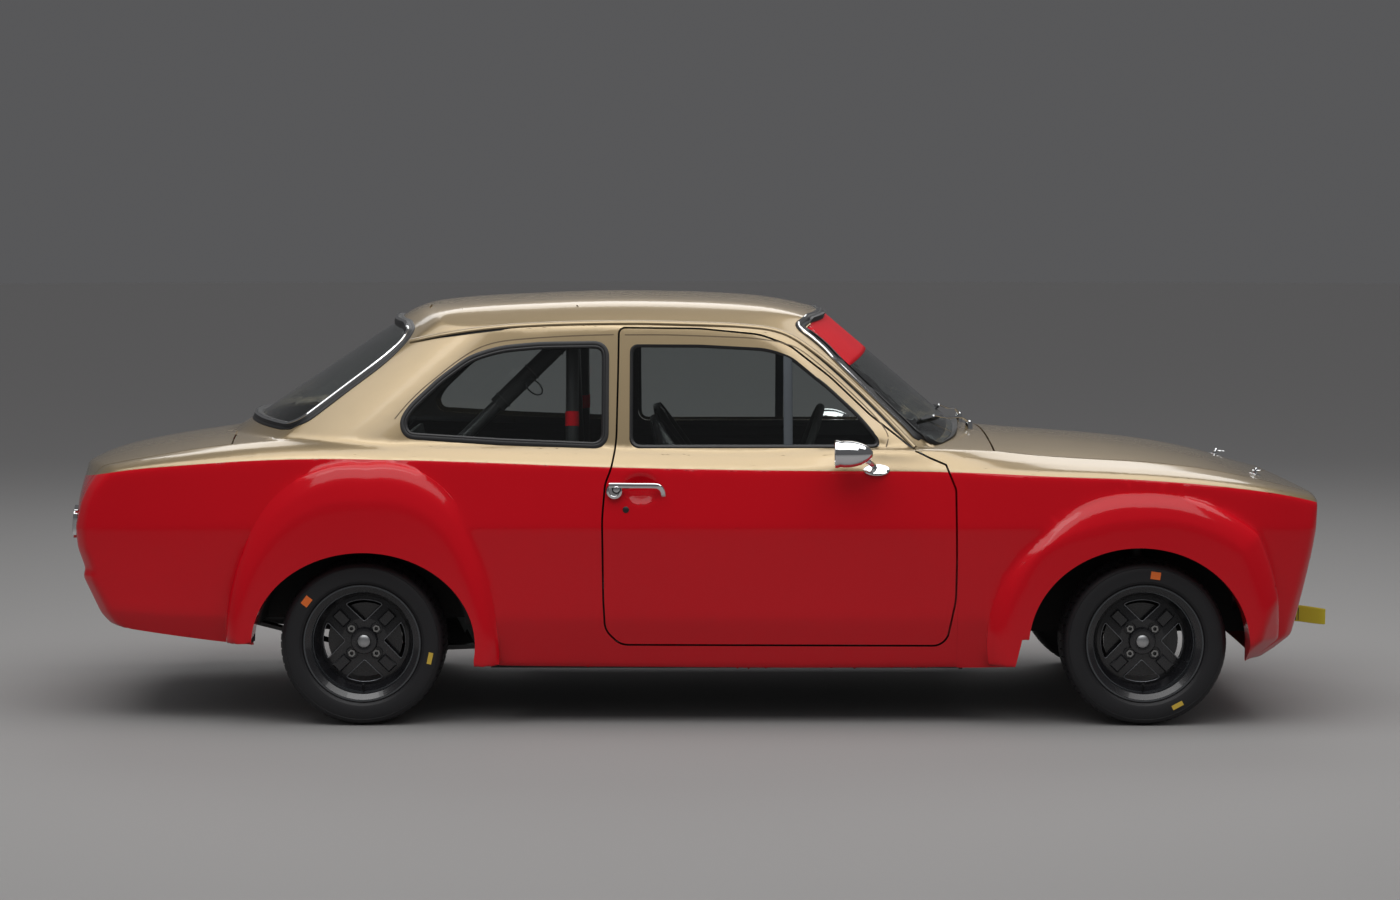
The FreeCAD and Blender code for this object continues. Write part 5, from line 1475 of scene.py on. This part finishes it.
def rounded_ring(half_y, z0, z1, radius, y=0.0, steps=8):
    """A rounded rectangle in a plane across the car, about its middle y."""
    corners = ((half_y - radius, z1 - radius, 0), (-half_y + radius, z1 - radius, 90),
               (-half_y + radius, z0 + radius, 180), (half_y - radius, z0 + radius, 270))
    ring = []
    for a, b, first in corners:
        for k in range(steps + 1):
            turn = math.radians(first + 90 * k / steps)
            ring.append((y + a + radius * math.cos(turn), b + radius * math.sin(turn)))
    return ring


GRILLE_EDGE_X = 1.9035
GRILLE_EDGE = [(-0.003, -0.004), (-0.003, 0.001), (0.0, 0.0024), (0.003, 0.001), (0.003, -0.004)]
TAIL_Y, TAIL_Z, TAIL_LOW, TAIL_HIGH, TAIL_X = 0.46, 0.604, 0.5625, 0.6455, -1.965
TAIL_FRAME = [(-0.0035, -0.010), (-0.0035, 0.0010), (-0.001, 0.0028), (0.0025, 0.0020), (0.0035, -0.010)]
TAIL_BAR = [(-0.0018, -0.003), (-0.0018, 0.0014), (0.0018, 0.0014), (0.0018, -0.003)]
TAIL_BAR_PLACES = (0.495, 0.425)


def grille_edge():
    ring = [Vector((GRILLE_EDGE_X, y, z)) for y, z in rounded_ring(0.583, 0.492, 0.653, 0.038)]
    path, out = evenly(ring, [Vector((1, 0, 0))] * len(ring), 0.012, True)
    fitted("grille_bright_edge", swept(path, out, GRILLE_EDGE, True), CHROME, "body")


def tail_frames():
    """A bright frame round each tail lamp, with two bars across it."""
    tail = rays_on([frame["nodes"]["tail_lamps"]])
    frames, bars = [], []
    for s in (-1, 1):
        middle = s * TAIL_Y
        ring = []
        for y, z in rounded_ring(0.0985, TAIL_LOW, TAIL_HIGH, 0.012, middle):
            hit = from_behind(tail, middle + (y - middle) * 0.96, TAIL_Z + (z - TAIL_Z) * 0.94)
            ring.append(Vector((hit.x if hit else TAIL_X, y, z)))
        path, out = evenly(ring, [Vector((-1, 0, 0))] * len(ring), 0.008, True)
        frames.append(swept(eased(path, 1), out, TAIL_FRAME, True))
        heights = [TAIL_LOW + 0.004 + (TAIL_HIGH - TAIL_LOW - 0.008) * k / 8 for k in range(9)]
        for y in TAIL_BAR_PLACES:
            rows = [hit for hit in (from_behind(tail, s * y, z) for z in heights) if hit]
            bars.append(swept(rows, [Vector((-1, 0, 0))] * len(rows), TAIL_BAR))
    fitted("tail_lamp_frames", together(frames + bars), CHROME, "body")


grille_edge()
tail_frames()


TOW_LOOP = [(1.858, -0.3885, 0.306), (1.905, -0.3890, 0.304), (1.950, -0.3895, 0.298),
            (1.976, -0.3885, 0.295), (1.9865, -0.3830, 0.294), (1.9870, -0.3770, 0.294),
            (1.976, -0.3715, 0.295), (1.950, -0.3705, 0.299), (1.905, -0.3710, 0.305),
            (1.858, -0.3715, 0.307)]
TOW_SECTION = [(-0.0015, -0.0235), (-0.0015, 0.0235), (-0.0005, 0.0245), (0.0005, 0.0245), (0.0015, 0.0235),
               (0.0015, -0.0235), (0.0, -0.0245)]
STITCH = [(-0.0012, 0), (-0.0012, 0.0006), (0.0012, 0.0006), (0.0012, 0)]


def tow_strap():
    """A folded loop of webbing from the front panel."""
    path = curve_through(TOW_LOOP, 0.006)
    loop = fitted("tow_webbing", swept(path, [Vector((0, 0, 1))] * len(path), TOW_SECTION), STRAP, "body")
    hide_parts("tow_strap")
    seams = [swept([Vector((x, y, 0.284)), Vector((x, y, 0.324))], [Vector((0, out, 0))] * 2, STITCH)
             for x in (1.885, 1.893, 1.901) for y, out in ((-0.3907, -1), (-0.3695, 1))]
    fitted("tow_webbing_seams", together(seams), SEAL, "body")


tow_strap()


DISH_EDGE = [(-0.0030, -0.004), (-0.0014, 0.0008), (0.0014, 0.0008), (0.0030, -0.004)]


def handle_dish():
    """The bright pressed edge under the dish behind each door handle."""
    places = [dish_place(1.04, math.radians(195 + 5 * k)) for k in range(31)]
    rows = [hit for hit in (on_flank(x, z) for x, z in places) if hit]
    edge = swept([place for place, way in rows], [way for place, way in rows], DISH_EDGE)
    for side, s in SIDES:
        fitted("handle_dish_edge_" + side, on_side(edge, s), PAINT, "door_" + side)


handle_dish()


# ---- studio ----
BACKDROP = 0.100          # how bright the studio behind the car is
FILL = 0.38               # soft light from all round
FLOOR_R = 60
SOFTBOXES = (             # name, place, size, watts
    ("top_softbox", (0.2, -0.9, 5.2), (9.0, 4.2), 240.0),
    ("side_softbox", (0.2, -6.0, 8.0), (11.0, 4.2), 270.0),
    ("back_softbox", (0, 6.0, 5.5), (8.0, 3.0), 140.0),
)
CAMERA_PLACE = (0.0326, -11.25, 1.6)
CAMERA_LENS, CAMERA_SENSOR = 88.553, 36.0              # millimetres
CAMERA_DIP, CAMERA_TURN = 0.0713128, 0.0026134         # radians


def studio_floor():
    floor = bpy.data.meshes.new("studio_floor")
    turns = [k * math.pi / 32 for k in range(64)]
    ring = [(FLOOR_R * math.cos(turn), FLOOR_R * math.sin(turn), 0.0) for turn in turns]
    floor.from_pydata(ring, [], [tuple(range(64))])
    obj = bpy.data.objects.new("studio_floor", floor)
    bpy.context.collection.objects.link(obj)
    mat, _, shader = new_material("pale_floor")
    shader.inputs["Base Color"].default_value = (0.27, 0.265, 0.26, 1)
    shader.inputs["Roughness"].default_value = 0.7
    shader.inputs["Specular IOR Level"].default_value = 0.1
    floor.materials.append(mat)


def studio_world():
    """Even light all round, with a darker backdrop where it is seen, mirrored or looked through."""
    world = bpy.data.worlds.new("studio")
    bpy.context.scene.world = world
    world.use_nodes = True
    tree = world.node_tree
    background = tree.nodes["Background"]
    background.inputs["Color"].default_value = (0.97, 0.97, 1.0, 1)
    path = add(tree, "ShaderNodeLightPath")
    seen = path.outputs["Is Camera Ray"]
    for ray in ("Is Glossy Ray", "Is Transmission Ray"):
        either = add(tree, "ShaderNodeMath", operation="MAXIMUM")
        tree.links.new(seen, either.inputs[0])
        tree.links.new(path.outputs[ray], either.inputs[1])
        seen = either.outputs[0]
    tree.links.new(ramp(tree, seen, FILL, BACKDROP), background.inputs["Strength"])


def softboxes():
    for name, place, size, power in SOFTBOXES:
        light = bpy.data.lights.new(name, "AREA")
        light.shape = "RECTANGLE"
        light.size, light.size_y = size
        light.energy = power
        lamp = bpy.data.objects.new(name, light)
        lamp.location = place
        aim = Vector((0, 0, 0.6)) - Vector(place)
        lamp.rotation_euler = aim.to_track_quat("-Z", "Y").to_euler()
        bpy.context.collection.objects.link(lamp)


def camera():
    data = bpy.data.cameras.new("camera")
    data.sensor_width = CAMERA_SENSOR
    data.lens = CAMERA_LENS
    obj = bpy.data.objects.new("camera", data)
    obj.location = CAMERA_PLACE
    obj.rotation_euler = (math.pi / 2 - CAMERA_DIP, 0, CAMERA_TURN)
    bpy.context.collection.objects.link(obj)
    bpy.context.scene.camera = obj


studio_floor()
studio_world()
softboxes()
camera()
bpy.context.scene.view_settings.view_transform = "Standard"
